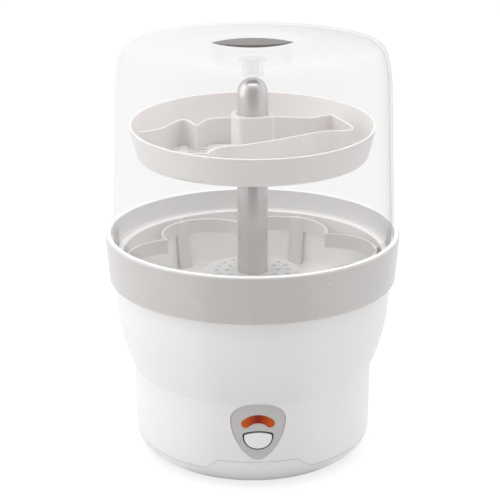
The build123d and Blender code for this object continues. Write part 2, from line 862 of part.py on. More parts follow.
# Screws of the terminal block
with BuildPart() as terminal_screws:
    with BuildSketch(Plane.XY.offset(terminal_top)):
        with Locations(*terminal_places):
            Circle(small_screw_head_radius)
    extrude(amount=small_screw_head_height)
    with BuildSketch(Plane.XY.offset(terminal_top)):
        with Locations(*terminal_places):
            Circle(terminal_screw_radius)
    extrude(amount=screw_clearance - terminal_screw_length)
terminal_screws.part.label = "terminal_screws"
export_step(terminal_screws.part, "parts/terminal_screws.step")

# Two leads from the terminal block to the heater's pins and one to the control board
lead_start = terminal_offset - terminal_depth / 2
lead_turn = lead_start - 2 * lead_bend_radius
pin_x = heater_ring_radius * math.sin(math.radians(heater_gap_angle / 2))
pin_y = -heater_ring_radius * math.cos(math.radians(heater_gap_angle / 2))
pin_foot = heater_axis - heater_tail_length - heater_pin_length
lead_rise = pin_foot - lead_end_run
board_lead_start = (board_lead_offset, board_back + lead_end_run, button_middle)
lead_routes = [
    [(side * terminal_pitch, lead_start, lead_height), (side * terminal_pitch, lead_turn, lead_height),
     (side * pin_x, pin_y, lead_rise), (side * pin_x, pin_y, pin_foot)]
    for side in (-1, 1)
] + [
    [(0, lead_start, lead_height), (0, lead_turn, lead_height),
     board_lead_start, (board_lead_offset, board_back, button_middle)],
]
with BuildPart() as internal_leads:
    for points in lead_routes:
        with BuildLine() as route:
            FilletPolyline(*points, radius=lead_bend_radius)
        with BuildSketch(Plane(origin=route.line @ 0, z_dir=route.line % 0)):
            Circle(lead_radius)
        sweep(path=route.line)
internal_leads.part.label = "internal_leads"
export_step(internal_leads.part, "parts/internal_leads.step")

# Rubber bush that the cord passes through, at the back
gland_inside = shell_inner_radius - facing_gap
gland_outside = base_foot_radius + facing_gap
with BuildPart() as cord_gland:
    with BuildSketch(Plane.XZ.offset(-gland_outside - gland_flange)):
        with Locations((0, gland_height)):
            Circle(gland_radius + gland_lip)
    extrude(amount=gland_flange)
    with BuildSketch(Plane.XZ.offset(-gland_outside)):
        with Locations((0, gland_height)):
            Circle(gland_radius)
    extrude(amount=gland_outside - gland_inside)
    with BuildSketch(Plane.XZ.offset(-gland_inside)):
        with Locations((0, gland_height)):
            Circle(gland_radius + gland_lip)
    extrude(amount=gland_flange)
    with BuildSketch(Plane.XZ.offset(-gland_outside - gland_flange)):
        with Locations((0, gland_height)):
            Circle(gland_bore_radius)
    extrude(amount=gland_outside + 2 * gland_flange - gland_inside, mode=Mode.SUBTRACT)
cord_gland.part.label = "cord_gland"
export_step(cord_gland.part, "parts/cord_gland.step")

# Front panel set in the housing's opening, with three posts for the control board
panel_face_plate = panel_plate(shield(), 0, panel_depth)
board_post_length = shell_inner_radius - board_post_bury + board_front
with BuildPart() as panel_flange:
    extrude(shield(panel_flange_overlap), amount=front_limit)
    revolve(body_section(housing_wall + screw_clearance, pan_inside), axis=Axis.Z, mode=Mode.INTERSECT)
    revolve(
        body_section(housing_wall + panel_flange_thickness, pan_inside - panel_flange_thickness),
        axis=Axis.Z, mode=Mode.SUBTRACT,
    )
with BuildPart() as panel_bezel:
    add(panel_face_plate)
    add(panel_flange.part)
    with BuildSketch(Plane.XZ.offset(-board_front)):
        with Locations(*board_post_places):
            Circle(board_post_radius)
    extrude(amount=board_post_length)
    with BuildSketch(Plane.XZ.offset(-board_front)):
        with Locations(*board_post_places):
            Circle(small_screw_radius + screw_clearance)
    extrude(amount=small_screw_length, mode=Mode.SUBTRACT)
    extrude(crescent(lens_clearance), amount=front_limit, mode=Mode.SUBTRACT)
    extrude(button_shape(button_gap + button_seal_wall), amount=front_limit, mode=Mode.SUBTRACT)
panel_bezel.part.label = "panel_bezel"
export_step(panel_bezel.part, "parts/panel_bezel.step")

# Arched lens of the indicator
lens_plate = panel_plate(crescent(), lens_proud, lens_thickness)
with BuildPart() as indicator_lens:
    add(lens_plate)
indicator_lens.part.label = "indicator_lens"
export_step(indicator_lens.part, "parts/indicator_lens.step")

# Two lamps on the control board, behind the lens
with BuildPart() as indicator_lamps:
    with BuildSketch(Plane.XZ.offset(-board_front)):
        with Locations((-lamp_spacing / 2, lens_middle), (lamp_spacing / 2, lens_middle)):
            Circle(lamp_radius)
    extrude(amount=lamp_length)
    fillet(indicator_lamps.edges().group_by(Axis.Y)[0], radius=lamp_edge_radius)
indicator_lamps.part.label = "indicator_lamps"
export_step(indicator_lamps.part, "parts/indicator_lamps.step")

# Control board on the panel's posts
with BuildPart() as control_board:
    with BuildSketch(Plane.XZ.offset(-board_back)):
        with Locations((0, board_bottom)):
            Rectangle(board_width, board_height, align=(Align.CENTER, Align.MIN))
        with Locations(*board_post_places):
            Circle(small_screw_radius + screw_clearance, mode=Mode.SUBTRACT)
    extrude(amount=board_thickness)
control_board.part.label = "control_board"
export_step(control_board.part, "parts/control_board.step")

# Push switch on the control board, with the bore that guides the button's pin
with BuildPart() as power_switch:
    with BuildSketch(Plane.XZ.offset(-board_front)):
        with Locations((0, button_middle)):
            Rectangle(switch_width, switch_width)
            Circle(stem_pin_radius + running_clearance, mode=Mode.SUBTRACT)
    extrude(amount=switch_depth)
power_switch.part.label = "power_switch"
export_step(power_switch.part, "parts/power_switch.step")

# Dark seal round the button
seal_outline = button_shape(button_gap + button_seal_wall - screw_clearance)
seal_plate = panel_plate(seal_outline, -button_seal_recess, button_seal_depth)
with BuildPart() as button_seal:
    add(seal_plate)
    extrude(button_shape(button_gap), amount=front_limit, mode=Mode.SUBTRACT)
button_seal.part.label = "button_seal"
export_step(button_seal.part, "parts/button_seal.step")

# Push button: domed cap, stem for the spring and pin for the switch
with BuildPart() as power_button:
    with BuildSketch(Plane.XZ.offset(-button_back)):
        add(button_shape())
    extrude(amount=button_cap)
    with Locations((0, button_face + button_dome_radius, button_middle)):
        Sphere(button_dome_radius, mode=Mode.INTERSECT)
    fillet(power_button.faces().sort_by(Axis.Y)[0].edges(), radius=button_edge_radius)
    with BuildSketch(Plane.XZ.offset(-stem_end)):
        with Locations((0, button_middle)):
            Circle(stem_radius)
    extrude(amount=stem_end - button_back)
    with BuildSketch(Plane.XZ.offset(-pin_end)):
        with Locations((0, button_middle)):
            Circle(stem_pin_radius)
    extrude(amount=pin_end - button_back)
power_button.part.label = "power_button"
export_step(power_button.part, "parts/power_button.step")

# Spring that pushes the button out
with BuildPart() as button_spring:
    spring_length = switch_face - button_back - 2 * spring_wire_radius
    spring_foot = (0, switch_face - spring_wire_radius, button_middle)
    with BuildLine() as coil:
        Helix(spring_length / spring_coils, spring_length, spring_radius, spring_foot, (0, -1, 0))
    with BuildSketch(Plane(origin=coil.line @ 0, z_dir=coil.line % 0)):
        Circle(spring_wire_radius)
    sweep(path=coil.line, is_frenet=True)
button_spring.part.label = "button_spring"
export_step(button_spring.part, "parts/button_spring.step")

# Rack: collar, ledge and basket in one piece, with drain slots and steam holes in the floor
slot_angles = [step * 360 / drain_slot_count for step in range(drain_slot_count)]
steam_angles = [step * 360 / steam_hole_count for step in range(steam_hole_count)]
with BuildPart() as rack_basket:
    revolve(
        cup_section(basket_rim_radius, bowl_draft, ledge_bottom, basket_bottom, basket_corner_radius),
        axis=Axis.Z,
    )
    revolve(
        cup_section(
            basket_inner_rim_radius, bowl_draft, ledge_bottom, basket_inside,
            basket_corner_radius - basket_wall,
        ),
        axis=Axis.Z, mode=Mode.SUBTRACT,
    )
    with BuildSketch(Plane.XZ) as collar:
        with BuildLine():
            Polyline(
                (basket_inner_rim_radius, ledge_bottom), (skirt_inner_radius, ledge_bottom),
                (skirt_inner_radius, collar_foot), (collar_radius - collar_foot_inset, collar_foot),
                (collar_radius, collar_top), (collar_inner_radius, collar_top),
                (collar_inner_radius, ledge_top), (basket_inner_rim_radius, ledge_top), close=True,
            )
        make_face()
        corners = [(collar_radius - collar_foot_inset, collar_foot), (collar_radius, collar_top)]
        outside = [collar.vertices().sort_by_distance((x, z, 0))[0] for x, z in corners]
        fillet(outside, radius=collar_edge_radius)
        inside = collar.vertices().sort_by_distance((collar_inner_radius, collar_top, 0))[0]
        fillet(inside, radius=collar_edge_radius / 2)
    revolve(axis=Axis.Z)
    with BuildSketch(Plane.XY.offset(basket_bottom)):
        with Locations(*around(drain_slot_circle_radius, slot_angles)):
            SlotOverall(drain_slot_length, drain_slot_width)
        with Locations(*around(steam_hole_circle_radius, steam_angles)):
            Circle(steam_hole_radius)
        Circle(column_screw_radius + screw_clearance)
    extrude(amount=basket_wall, mode=Mode.SUBTRACT)
rack_basket.part.label = "rack_basket"
export_step(rack_basket.part, "parts/rack_basket.step")

# Wavy guide that keeps the bottles in their places, on posts inside the basket
guide_limit = basket_inner_rim_radius - guide_rib_gap
post_start = guide_radius - guide_post_depth
rib_start = guide_radius - guide_wall
with BuildPart() as bottle_guide:
    with BuildSketch(Plane.XY.offset(guide_top - guide_band)):
        add(lobed_disc(guide_lobe_radius))
        add(lobed_disc(guide_lobe_radius - guide_wall), mode=Mode.SUBTRACT)
    extrude(amount=guide_band)
    with BuildSketch(Plane.XY.offset(basket_inside)):
        with Locations(*around(post_start, guide_angles)):
            Rectangle(guide_post_depth, guide_post_width, align=(Align.MIN, Align.CENTER))
    extrude(amount=guide_top - basket_inside - guide_post_drop)
    with BuildSketch(Plane.XY.offset(guide_top - guide_rib_height)):
        with Locations(*around(rib_start, guide_angles)):
            Rectangle(guide_limit - rib_start, guide_rib, align=(Align.MIN, Align.CENTER))
    extrude(amount=guide_rib_height)
    revolve(
        cup_section(guide_limit, bowl_draft, ledge_bottom, basket_inside, basket_corner_radius - basket_wall),
        axis=Axis.Z, mode=Mode.INTERSECT,
    )
bottle_guide.part.label = "bottle_guide"
export_step(bottle_guide.part, "parts/bottle_guide.step")

# Steam plate: a stepped cap round the column's foot, with two rings of slots
inner_hole_angles = [step * 360 / plate_inner_holes for step in range(plate_inner_holes)]
outer_hole_angles = [step * 360 / plate_outer_holes for step in range(plate_outer_holes)]
with BuildPart() as steam_plate:
    revolve(band(0, plate_radius, basket_inside, plate_top - plate_step), axis=Axis.Z)
    revolve(band(0, plate_radius - plate_step_inset, plate_top - plate_step, plate_top), axis=Axis.Z)
    fillet(steam_plate.edges().group_by(Axis.Z)[-1], radius=plate_edge_radius)
    revolve(
        band(0, plate_radius - plate_wall, basket_inside, plate_top - plate_step - plate_wall),
        axis=Axis.Z, mode=Mode.SUBTRACT,
    )
    revolve(
        band(0, plate_radius - plate_step_inset - plate_wall, basket_inside, plate_top - plate_wall),
        axis=Axis.Z, mode=Mode.SUBTRACT,
    )
    with BuildSketch(Plane.XY.offset(plate_top)):
        Circle(column_radius + running_clearance)
        with Locations(*around(plate_inner_hole_radius, inner_hole_angles)):
            SlotOverall(plate_hole_length, plate_hole_width)
        with Locations(*around(plate_outer_hole_radius, outer_hole_angles)):
            SlotOverall(plate_hole_length, plate_hole_width)
    extrude(amount=-plate_wall, mode=Mode.SUBTRACT)
steam_plate.part.label = "steam_plate"
export_step(steam_plate.part, "parts/steam_plate.step")

# Hollow column with a domed top, a foot flange and the three nibs that carry the tray
nib_angles = [90, 210, 330]
column_inner_radius = column_radius - column_wall
column_plug_top = basket_inside + column_plug
column_screw_end = basket_bottom + column_screw_length + screw_clearance
dome_start = column_top - column_dome
with BuildPart() as column:
    with BuildSketch(Plane.XZ):
        with BuildLine():
            Polyline(
                (0, column_top), (0, basket_inside), (column_base_radius, basket_inside),
                (column_base_radius, basket_inside + column_base),
                (column_radius, basket_inside + column_base), (column_radius, dome_start),
            )
            Bezier((column_radius, dome_start), (column_radius, column_top), (0, column_top))
        make_face()
    revolve(axis=Axis.Z)
    revolve(
        band(0, column_inner_radius, column_plug_top, dome_start), axis=Axis.Z, mode=Mode.SUBTRACT
    )
    revolve(
        band(0, column_screw_radius + screw_clearance, basket_inside, column_screw_end),
        axis=Axis.Z, mode=Mode.SUBTRACT,
    )
    nib_top = tray_bottom - seat_gap
    with BuildSketch(Plane.XY.offset(nib_top - column_nib_height)):
        with Locations(*around(column_radius - column_wall / 2, nib_angles)):
            Rectangle(column_nib_reach + column_wall / 2, column_nib_width, align=(Align.MIN, Align.CENTER))
    extrude(amount=column_nib_height)
column.part.label = "column"
export_step(column.part, "parts/column.step")

# Screw that holds the column from below
with BuildPart() as column_screw:
    revolve(
        band(0, column_screw_head_radius, basket_bottom - column_screw_head_height, basket_bottom),
        axis=Axis.Z,
    )
    revolve(
        band(0, column_screw_radius, basket_bottom, basket_bottom + column_screw_length), axis=Axis.Z
    )
column_screw.part.label = "column_screw"
export_step(column_screw.part, "parts/column_screw.step")

# Divider walls of the tray, kept inside the tray's outer surface
tray_outside = cup_section(tray_back_radius, tray_draft, tray_rim_back, tray_bottom, tray_corner_radius)
with BuildPart() as tray_divider:
    with BuildSketch(Plane.XY.offset(tray_bottom)):
        with BuildLine() as walls:
            Spline(
                (-43, -92), (-29.6, -60.5), (-6.4, -50.8), (29.4, -28.6), (54.6, -11.4), (73.8, -9.2),
                (80.1, 1.5), (71.3, 36.3), (65.7, 45.7), (47.2, 35.5), (15.5, 42.4), (-30.9, 37.1),
                (-44.3, 12.9),
            )
            Spline((-44.3, 12.9), (-56.5, 34.5), (-76, 0.7), (-99, -9.8))
        trace(line_width=divider_wall)
    extrude(amount=tray_depth - divider_below_rim)
    revolve(tray_outside, axis=Axis.Z, mode=Mode.INTERSECT)

# Small parts tray, its rim lower at the front, with a turned hub that slides on the column
slot_limit = tray_radius - tray_draft * tray_depth - tray_slot_length
slot_start = hub_width / 2 + tray_slot_hub_margin
tray_slot_places = [
    (column_step * tray_slot_pitch_x, row * tray_slot_pitch_y)
    for column_step in range(-tray_slot_columns, tray_slot_columns + 1)
    for row in range(-tray_slot_rows, tray_slot_rows + 1)
    if math.hypot(column_step * tray_slot_pitch_x, row * tray_slot_pitch_y) < slot_limit
    and max(abs(column_step) * tray_slot_pitch_x, abs(row) * tray_slot_pitch_y) > slot_start
]
rim_plane = Plane(origin=(0, 0, tray_rim), z_dir=(0, -tray_rim_fall / tray_radius, 1))
with BuildPart() as small_parts_tray:
    revolve(tray_outside, axis=Axis.Z)
    revolve(
        cup_section(
            tray_back_radius - tray_wall, tray_draft, tray_rim_back, tray_inside,
            tray_corner_radius - tray_wall,
        ),
        axis=Axis.Z, mode=Mode.SUBTRACT,
    )
    split(bisect_by=rim_plane, keep=Keep.BOTTOM)
    with BuildSketch(Plane.XY.offset(tray_bottom)):
        with Locations(*tray_slot_places):
            SlotOverall(tray_slot_length, tray_slot_width)
    extrude(amount=tray_wall, mode=Mode.SUBTRACT)
    add(tray_divider.part)
    with BuildSketch(Plane.XY.offset(tray_bottom)) as hub:
        Rectangle(hub_width, hub_depth, rotation=hub_turn)
        chamfer(hub.vertices(), length=hub_chamfer)
    extrude(amount=hub_height)
    chamfer(small_parts_tray.edges().group_by(Axis.Z)[-1], length=hub_top_chamfer)
    with BuildSketch(Plane.XY.offset(tray_bottom)):
        Circle(column_radius + running_clearance)
    extrude(amount=hub_height, mode=Mode.SUBTRACT)
small_parts_tray.part.label = "small_parts_tray"
export_step(small_parts_tray.part, "parts/small_parts_tray.step")


def lid_section(inset):
    """Half section of the lid's body from the foot to the crown, drawn in by an inset."""
    foot = lid_foot_radius - inset
    body = lid_radius - inset
    crown = lid_top - inset
    step_low = lid_foot + lid_foot_height
    step_high = step_low + lid_step_height
    shoulder = (body - lid_shoulder_inset, lid_foot + lid_shoulder_height)
    edge = (lid_crown_radius - inset, crown - lid_crown_rise)
    barrel = (shoulder[0] - lid_barrel_pull, shoulder[1] + lid_barrel_rise)
    corner = (edge[0] + lid_corner_pull, edge[1] - lid_corner_drop)
    crown_pull = (edge[0] - lid_crown_pull, crown)
    with BuildSketch(Plane.XZ) as section:
        with BuildLine():
            Polyline(
                (0, crown), (0, lid_foot), (foot, lid_foot), (foot, step_low), (body, step_high), shoulder
            )
            Bezier(shoulder, barrel, corner, edge)
            Bezier(edge, crown_pull, (0, crown))
        make_face()
    return section.sketch


# Clear lid with a recess in the crown
recess_wall_run = (recess_radius - recess_floor_radius) / recess_depth
recess_under = recess_floor - lid_wall
cut_top = lid_top + cut_margin
grip_seat = lid_top - grip_below_crown - grip_thickness
grip_pin_places = [(-grip_pin_offset, 0), (grip_pin_offset, 0)]
with BuildPart() as lid_shell:
    revolve(lid_section(0), axis=Axis.Z)
    revolve(lid_section(lid_wall), axis=Axis.Z, mode=Mode.SUBTRACT)
    revolve(
        outline([
            (0, recess_under), (recess_floor_radius + lid_wall, recess_under),
            (recess_radius + lid_wall, lid_top - lid_wall), (0, lid_top - lid_wall),
        ]),
        axis=Axis.Z,
    )
    revolve(
        outline([
            (0, recess_floor), (recess_floor_radius, recess_floor),
            (recess_radius, lid_top), (recess_radius + recess_wall_run * cut_margin, cut_top), (0, cut_top),
        ]),
        axis=Axis.Z, mode=Mode.SUBTRACT,
    )
    with BuildSketch(Plane.XY.offset(recess_under)):
        with Locations(*grip_pin_places):
            Circle(grip_boss_radius)
    extrude(amount=grip_seat - recess_under)
    with BuildSketch(Plane.XY.offset(grip_seat)):
        with Locations(*grip_pin_places):
            Circle(grip_pin_radius + screw_clearance)
    extrude(amount=-grip_pin_length - screw_clearance, mode=Mode.SUBTRACT)
    with BuildSketch(Plane.XY.offset(recess_under)):
        Circle(vent_tube_radius + screw_clearance)
    extrude(amount=lid_wall, mode=Mode.SUBTRACT)
lid_shell.part.label = "lid_shell"
export_step(lid_shell.part, "parts/lid_shell.step")

# Grip bar across the recess, leaf shaped, on two pins
leaf_offset = (grip_half_length**2 - grip_half_width**2) / (2 * grip_half_width)
leaf_radius = leaf_offset + grip_half_width
with BuildPart() as lid_grip:
    with BuildSketch(Plane.XY.offset(grip_seat)):
        with Locations((0, leaf_offset)):
            Circle(leaf_radius)
        with Locations((0, -leaf_offset)):
            Circle(leaf_radius, mode=Mode.INTERSECT)
    extrude(amount=grip_thickness)
    with Locations((0, 0, grip_seat + grip_thickness - grip_crown_radius)):
        Sphere(grip_crown_radius, mode=Mode.INTERSECT)
    with BuildSketch(Plane.XY.offset(grip_seat)):
        with Locations(*grip_pin_places):
            Circle(grip_pin_radius)
    extrude(amount=-grip_pin_length)
lid_grip.part.label = "lid_grip"
export_step(lid_grip.part, "parts/lid_grip.step")

# Steam vent: a flanged tube through the recess floor
with BuildPart() as steam_vent:
    revolve(
        outline([
            (vent_bore_radius, vent_bottom), (vent_tube_radius, vent_bottom),
            (vent_tube_radius, recess_floor), (vent_flange_radius, recess_floor),
            (vent_flange_radius, recess_floor + vent_flange), (vent_bore_radius, recess_floor + vent_flange),
        ]),
        axis=Axis.Z,
    )
    fillet(steam_vent.edges().group_by(Axis.Z)[-1], radius=vent_edge_radius)
steam_vent.part.label = "steam_vent"
export_step(steam_vent.part, "parts/steam_vent.step")
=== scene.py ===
import math

import bmesh
import bpy
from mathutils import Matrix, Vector


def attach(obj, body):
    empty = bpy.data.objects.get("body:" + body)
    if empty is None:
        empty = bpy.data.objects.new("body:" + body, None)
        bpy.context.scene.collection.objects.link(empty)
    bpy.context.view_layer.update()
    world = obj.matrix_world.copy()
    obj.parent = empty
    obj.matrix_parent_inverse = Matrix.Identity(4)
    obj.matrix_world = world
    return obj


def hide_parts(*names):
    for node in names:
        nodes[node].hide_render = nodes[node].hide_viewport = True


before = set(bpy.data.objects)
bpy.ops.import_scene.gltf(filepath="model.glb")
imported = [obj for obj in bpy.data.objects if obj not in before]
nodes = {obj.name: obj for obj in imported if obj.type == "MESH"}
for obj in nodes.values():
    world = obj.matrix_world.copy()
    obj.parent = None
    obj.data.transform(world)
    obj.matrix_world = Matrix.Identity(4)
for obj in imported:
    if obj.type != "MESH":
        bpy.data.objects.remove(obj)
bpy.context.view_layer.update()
MM = 0.001

# Camera at the photograph's angle: in front, a little to the left, looking down
ELEVATION = math.radians(18.87)
AZIMUTH = math.radians(2.5)
DISTANCE = 1.1113
AIM = Vector((0, 0, 0.1646))
back = Vector((
    -math.sin(AZIMUTH) * math.cos(ELEVATION),
    -math.cos(AZIMUTH) * math.cos(ELEVATION),
    math.sin(ELEVATION),
))
camera_data = bpy.data.cameras.new("camera")
camera = bpy.data.objects.new("camera", camera_data)
bpy.context.scene.collection.objects.link(camera)
camera.location = AIM + back * DISTANCE
camera.rotation_mode = "QUATERNION"
camera.rotation_quaternion = (-back).to_track_quat("-Z", "Y")
camera_data.sensor_width = 36.0
camera_data.lens = 97.2
camera_data.shift_x = -0.0052
camera_data.shift_y = 0.0064
camera_data.clip_start = 0.05
camera_data.clip_end = 20
bpy.context.scene.camera = camera

# How far a rounded corner may reach along an edge, how sharp a wall's mitred corner may be,
# how near its axis a turned outline closes, and how near two points in metres are one
MOST_OF_HALF = 0.49
SHARPEST_MITER = 0.5
AXIS = 0.05
MERGE_DISTANCE = 1e-7


def bezier(points, count):
    """Points along a Bezier curve, without its first point."""
    out = []
    degree = len(points) - 1
    for step in range(1, count + 1):
        t = step / count
        x = y = 0.0
        for i, p in enumerate(points):
            w = math.comb(degree, i) * (1 - t) ** (degree - i) * t**i
            x += w * p[0]
            y += w * p[1]
        out.append((x, y))
    return out


def rounded(points, radii, count):
    """A closed outline of radius and height pairs with its corners rounded."""
    out = []
    total = len(points)
    for i, (p, r) in enumerate(zip(points, radii)):
        if r <= 0:
            out.append(p)
            continue
        a = Vector(points[i - 1]) - Vector(p)
        b = Vector(points[(i + 1) % total]) - Vector(p)
        half = a.angle(b) / 2
        reach = min(r / math.tan(half), MOST_OF_HALF * a.length, MOST_OF_HALF * b.length)
        start = Vector(p) + a.normalized() * reach
        end = Vector(p) + b.normalized() * reach
        out.append(tuple(start))
        out += bezier([tuple(start), p, tuple(end)], count)
    return out


def lathe(outline, segments):
    """Points and faces of a closed outline turned round the Z axis, in millimetres."""
    points = []
    for step in range(segments):
        a = 2 * math.pi * step / segments
        points += [(r * math.cos(a), r * math.sin(a), z) for r, z in outline]
    count = len(outline)
    faces = []
    for step in range(segments):
        here = step * count
        there = ((step + 1) % segments) * count
        for i in range(count):
            j = (i + 1) % count
            faces.append((here + i, there + i, there + j, here + j))
    return points, faces


def loft(loops, wrap=False):
    """Points and faces of a skin over closed loops, its ends capped unless it wraps round."""
    count = len(loops[0])
    points = [p for loop in loops for p in loop]
    faces = []
    steps = len(loops) if wrap else len(loops) - 1
    for k in range(steps):
        here = k * count
        there = ((k + 1) % len(loops)) * count
        for i in range(count):
            j = (i + 1) % count
            faces.append((here + i, here + j, there + j, there + i))
    if not wrap:
        faces.append(tuple(reversed(range(count))))
        faces.append(tuple(range(count * (len(loops) - 1), count * len(loops))))
    return points, faces


def ribbon(path, section, closed=False):
    """A wall along a path seen from above, with a section of offset and height pairs."""
    loops = []
    total = len(path)
    for i, p in enumerate(path):
        before = path[i - 1] if i or closed else p
        after = path[(i + 1) % total] if i < total - 1 or closed else p
        first = (Vector(p) - Vector(before)) if before != p else (Vector(after) - Vector(p))
        second = (Vector(after) - Vector(p)) if after != p else first
        first.normalize()
        second.normalize()
        along = (first + second).normalized()
        side = Vector((along.y, -along.x))
        miter = 1 / max(SHARPEST_MITER, along.dot(first))
        loops.append([
            (p[0] + side.x * offset * miter, p[1] + side.y * offset * miter, z) for offset, z in section
        ])
    return loft(loops, closed)


def placed(shape, angle=0.0, x=0.0, y=0.0):
    """The same shape turned about the Z axis and moved level."""
    points, faces = shape
    c = math.cos(math.radians(angle))
    s = math.sin(math.radians(angle))
    return [(px * c - py * s + x, px * s + py * c + y, z) for px, py, z in points], faces


def piece(name, shapes, sharp=40):
    """One object in metres from several shapes in millimetres."""
    points = []
    faces = []
    for more_points, more_faces in shapes:
        base = len(points)
        points += [(x * MM, y * MM, z * MM) for x, y, z in more_points]
        faces += [tuple(base + i for i in face) for face in more_faces]
    mesh = bpy.data.meshes.new(name)
    mesh.from_pydata(points, [], faces)
    work = bmesh.new()
    work.from_mesh(mesh)
    bmesh.ops.remove_doubles(work, verts=work.verts, dist=MERGE_DISTANCE)
    bmesh.ops.recalc_face_normals(work, faces=work.faces)
    work.to_mesh(mesh)
    work.free()
    obj = bpy.data.objects.new(name, mesh)
    bpy.context.scene.collection.objects.link(obj)
    soften(mesh, sharp)
    return obj


def soften(mesh, sharp):
    """Smooth shading, except over edges above a sharp angle in degrees."""
    mesh.polygons.foreach_set("use_smooth", [True] * len(mesh.polygons))
    mesh.set_sharp_from_angle(angle=math.radians(sharp))


def drill(obj, shapes, sharp):
    """Cuts closed shapes in millimetres out of an object."""
    cutter = piece("cutter", shapes)
    cutter_mesh = cutter.data
    cut = obj.modifiers.new("cut", "BOOLEAN")
    cut.operation = "DIFFERENCE"
    cut.solver = "EXACT"
    cut.object = cutter
    graph = bpy.context.evaluated_depsgraph_get()
    result = bpy.data.meshes.new_from_object(obj.evaluated_get(graph))
    obj.modifiers.remove(cut)
    plain = obj.data
    obj.data = result
    bpy.data.objects.remove(cutter)
    bpy.data.meshes.remove(cutter_mesh)
    bpy.data.meshes.remove(plain)
    soften(result, sharp)


def slot_prism(length, width, low, high, arc=8):
    """Upright prism with a slot's outline, along X."""
    half = (length - width) / 2
    r = width / 2
    ring = []
    for i in range(arc + 1):
        a = -math.pi / 2 + math.pi * i / arc
        ring.append((half + r * math.cos(a), r * math.sin(a)))
    for i in range(arc + 1):
        a = math.pi / 2 + math.pi * i / arc
        ring.append((-half + r * math.cos(a), r * math.sin(a)))
    return loft([[(x, y, low) for x, y in ring], [(x, y, high) for x, y in ring]])


def polar(planes, angle, power=36):
    """Distance to a convex outline with softened corners, given as angle and distance pairs."""
    total = 0.0
    for direction, distance in planes:
        c = math.cos(angle - direction) / distance
        if c > 0:
            total += c**power
    return total ** (-1 / power)


def grey(level):
    """A neutral colour."""
    return (level, level, level)


def feed(tree, node, inputs):
    """Sets a node's inputs by name or number, each to a value, a colour or another node's output."""
    for key, value in inputs.items():
        socket = node.inputs[key]
        if isinstance(value, bpy.types.NodeSocket):
            tree.links.new(value, socket)
        elif socket.type == "RGBA":
            socket.default_value = (*value, 1)
        else:
            socket.default_value = value


def add(tree, kind, inputs, **settings):
    """A new shader node with its settings and inputs."""
    node = tree.nodes.new(kind)
    for name, value in settings.items():
        setattr(node, name, value)
    feed(tree, node, inputs)
    return node


def tree_of(name):
    """A new material, its node tree, its main shader and its output."""
    mat = bpy.data.materials.new(name)
    mat.use_nodes = True
    tree = mat.node_tree
    tree.nodes.clear()
    shader = add(tree, "ShaderNodeBsdfPrincipled", {})
    out = add(tree, "ShaderNodeOutputMaterial", {"Surface": shader.outputs["BSDF"]})
    return mat, tree, shader, out


def place_of(tree):
    """The place in the object's frame, in metres."""
    return add(tree, "ShaderNodeTexCoord", {}).outputs["Object"]


def along(tree, vector, axis):
    """A vector's part along one axis."""
    return add(tree, "ShaderNodeSeparateXYZ", {0: vector}).outputs[axis]


def maths(tree, operation, *values):
    """What a math operation makes of values or outputs."""
    return add(tree, "ShaderNodeMath", dict(enumerate(values)), operation=operation).outputs[0]


def off_axis(tree, place):
    """How far a place is from the Z axis."""
    flat = add(tree, "ShaderNodeVectorMath", {0: place, 1: (1, 1, 0)}, operation="MULTIPLY")
    reach = add(tree, "ShaderNodeVectorMath", {0: flat.outputs["Vector"]}, operation="LENGTH")
    return reach.outputs["Value"]


def remap(tree, value, start, end, low=0.0, high=1.0, kind="LINEAR"):
    """Maps the stretch from start to end onto low to high, and holds the ends."""
    inputs = {"Value": value, "From Min": start, "From Max": end, "To Min": low, "To Max": high}
    return add(tree, "ShaderNodeMapRange", inputs, interpolation_type=kind).outputs["Result"]


def noise(tree, scale, detail, rough=0.5, stretch=(1, 1, 1)):
    """A noise value, mostly between 0.3 and 0.7."""
    place = add(tree, "ShaderNodeMapping", {"Vector": place_of(tree), "Scale": stretch})
    inputs = {"Vector": place.outputs["Vector"], "Scale": scale, "Detail": detail, "Roughness": rough}
    return add(tree, "ShaderNodeTexNoise", inputs).outputs["Fac"]


def spread(tree, value, low, high):
    """Maps a noise value to a range."""
    return remap(tree, value, 0.3, 0.7, low, high)


def tint(tree, share, first, second):
    """Two colours mixed by the second one's share."""
    inputs = {"Factor": share, "A": first, "B": second}
    return add(tree, "ShaderNodeMix", inputs, data_type="RGBA").outputs["Result"]


def mix_shaders(tree, share, first, second):
    """Two shader nodes mixed by the second one's share."""
    return add(tree, "ShaderNodeMixShader", {0: share, 1: first.outputs[0], 2: second.outputs[0]})


def bump(tree, value, distance, strength=1.0, normal=None):
    """A normal that follows a height in metres, on top of another normal if there is one."""
    inputs = {"Height": value, "Distance": distance, "Strength": strength}
    if normal is not None:
        inputs["Normal"] = normal
    return add(tree, "ShaderNodeBump", inputs).outputs["Normal"]


def moulded(name, colour, roughness, grain=0.000006, shade=0.975, coat=0.0, see=0.0, shine=0.0):
    """Moulded plastic: faint colour drift, uneven gloss and a fine orange peel."""
    mat, tree, shader, _ = tree_of(name)
    drift = spread(tree, noise(tree, 14, detail=3), 0, 1)
    dark = tuple(c * shade for c in colour)
    peel = bump(tree, noise(tree, 900, detail=2), grain, strength=0.6)
    feed(tree, shader, {
        "Base Color": tint(tree, drift, dark, colour),
        "Roughness": spread(tree, noise(tree, 60, detail=4), roughness * 0.88, roughness * 1.12),
        "Normal": bump(tree, noise(tree, 45, detail=1), grain * 4, strength=0.3, normal=peel),
        "Coat Weight": coat,
        "Coat Roughness": 0.08,
        "Subsurface Weight": see,
        "Subsurface Scale": 0.004,
        "Metallic": shine,
    })
    return mat


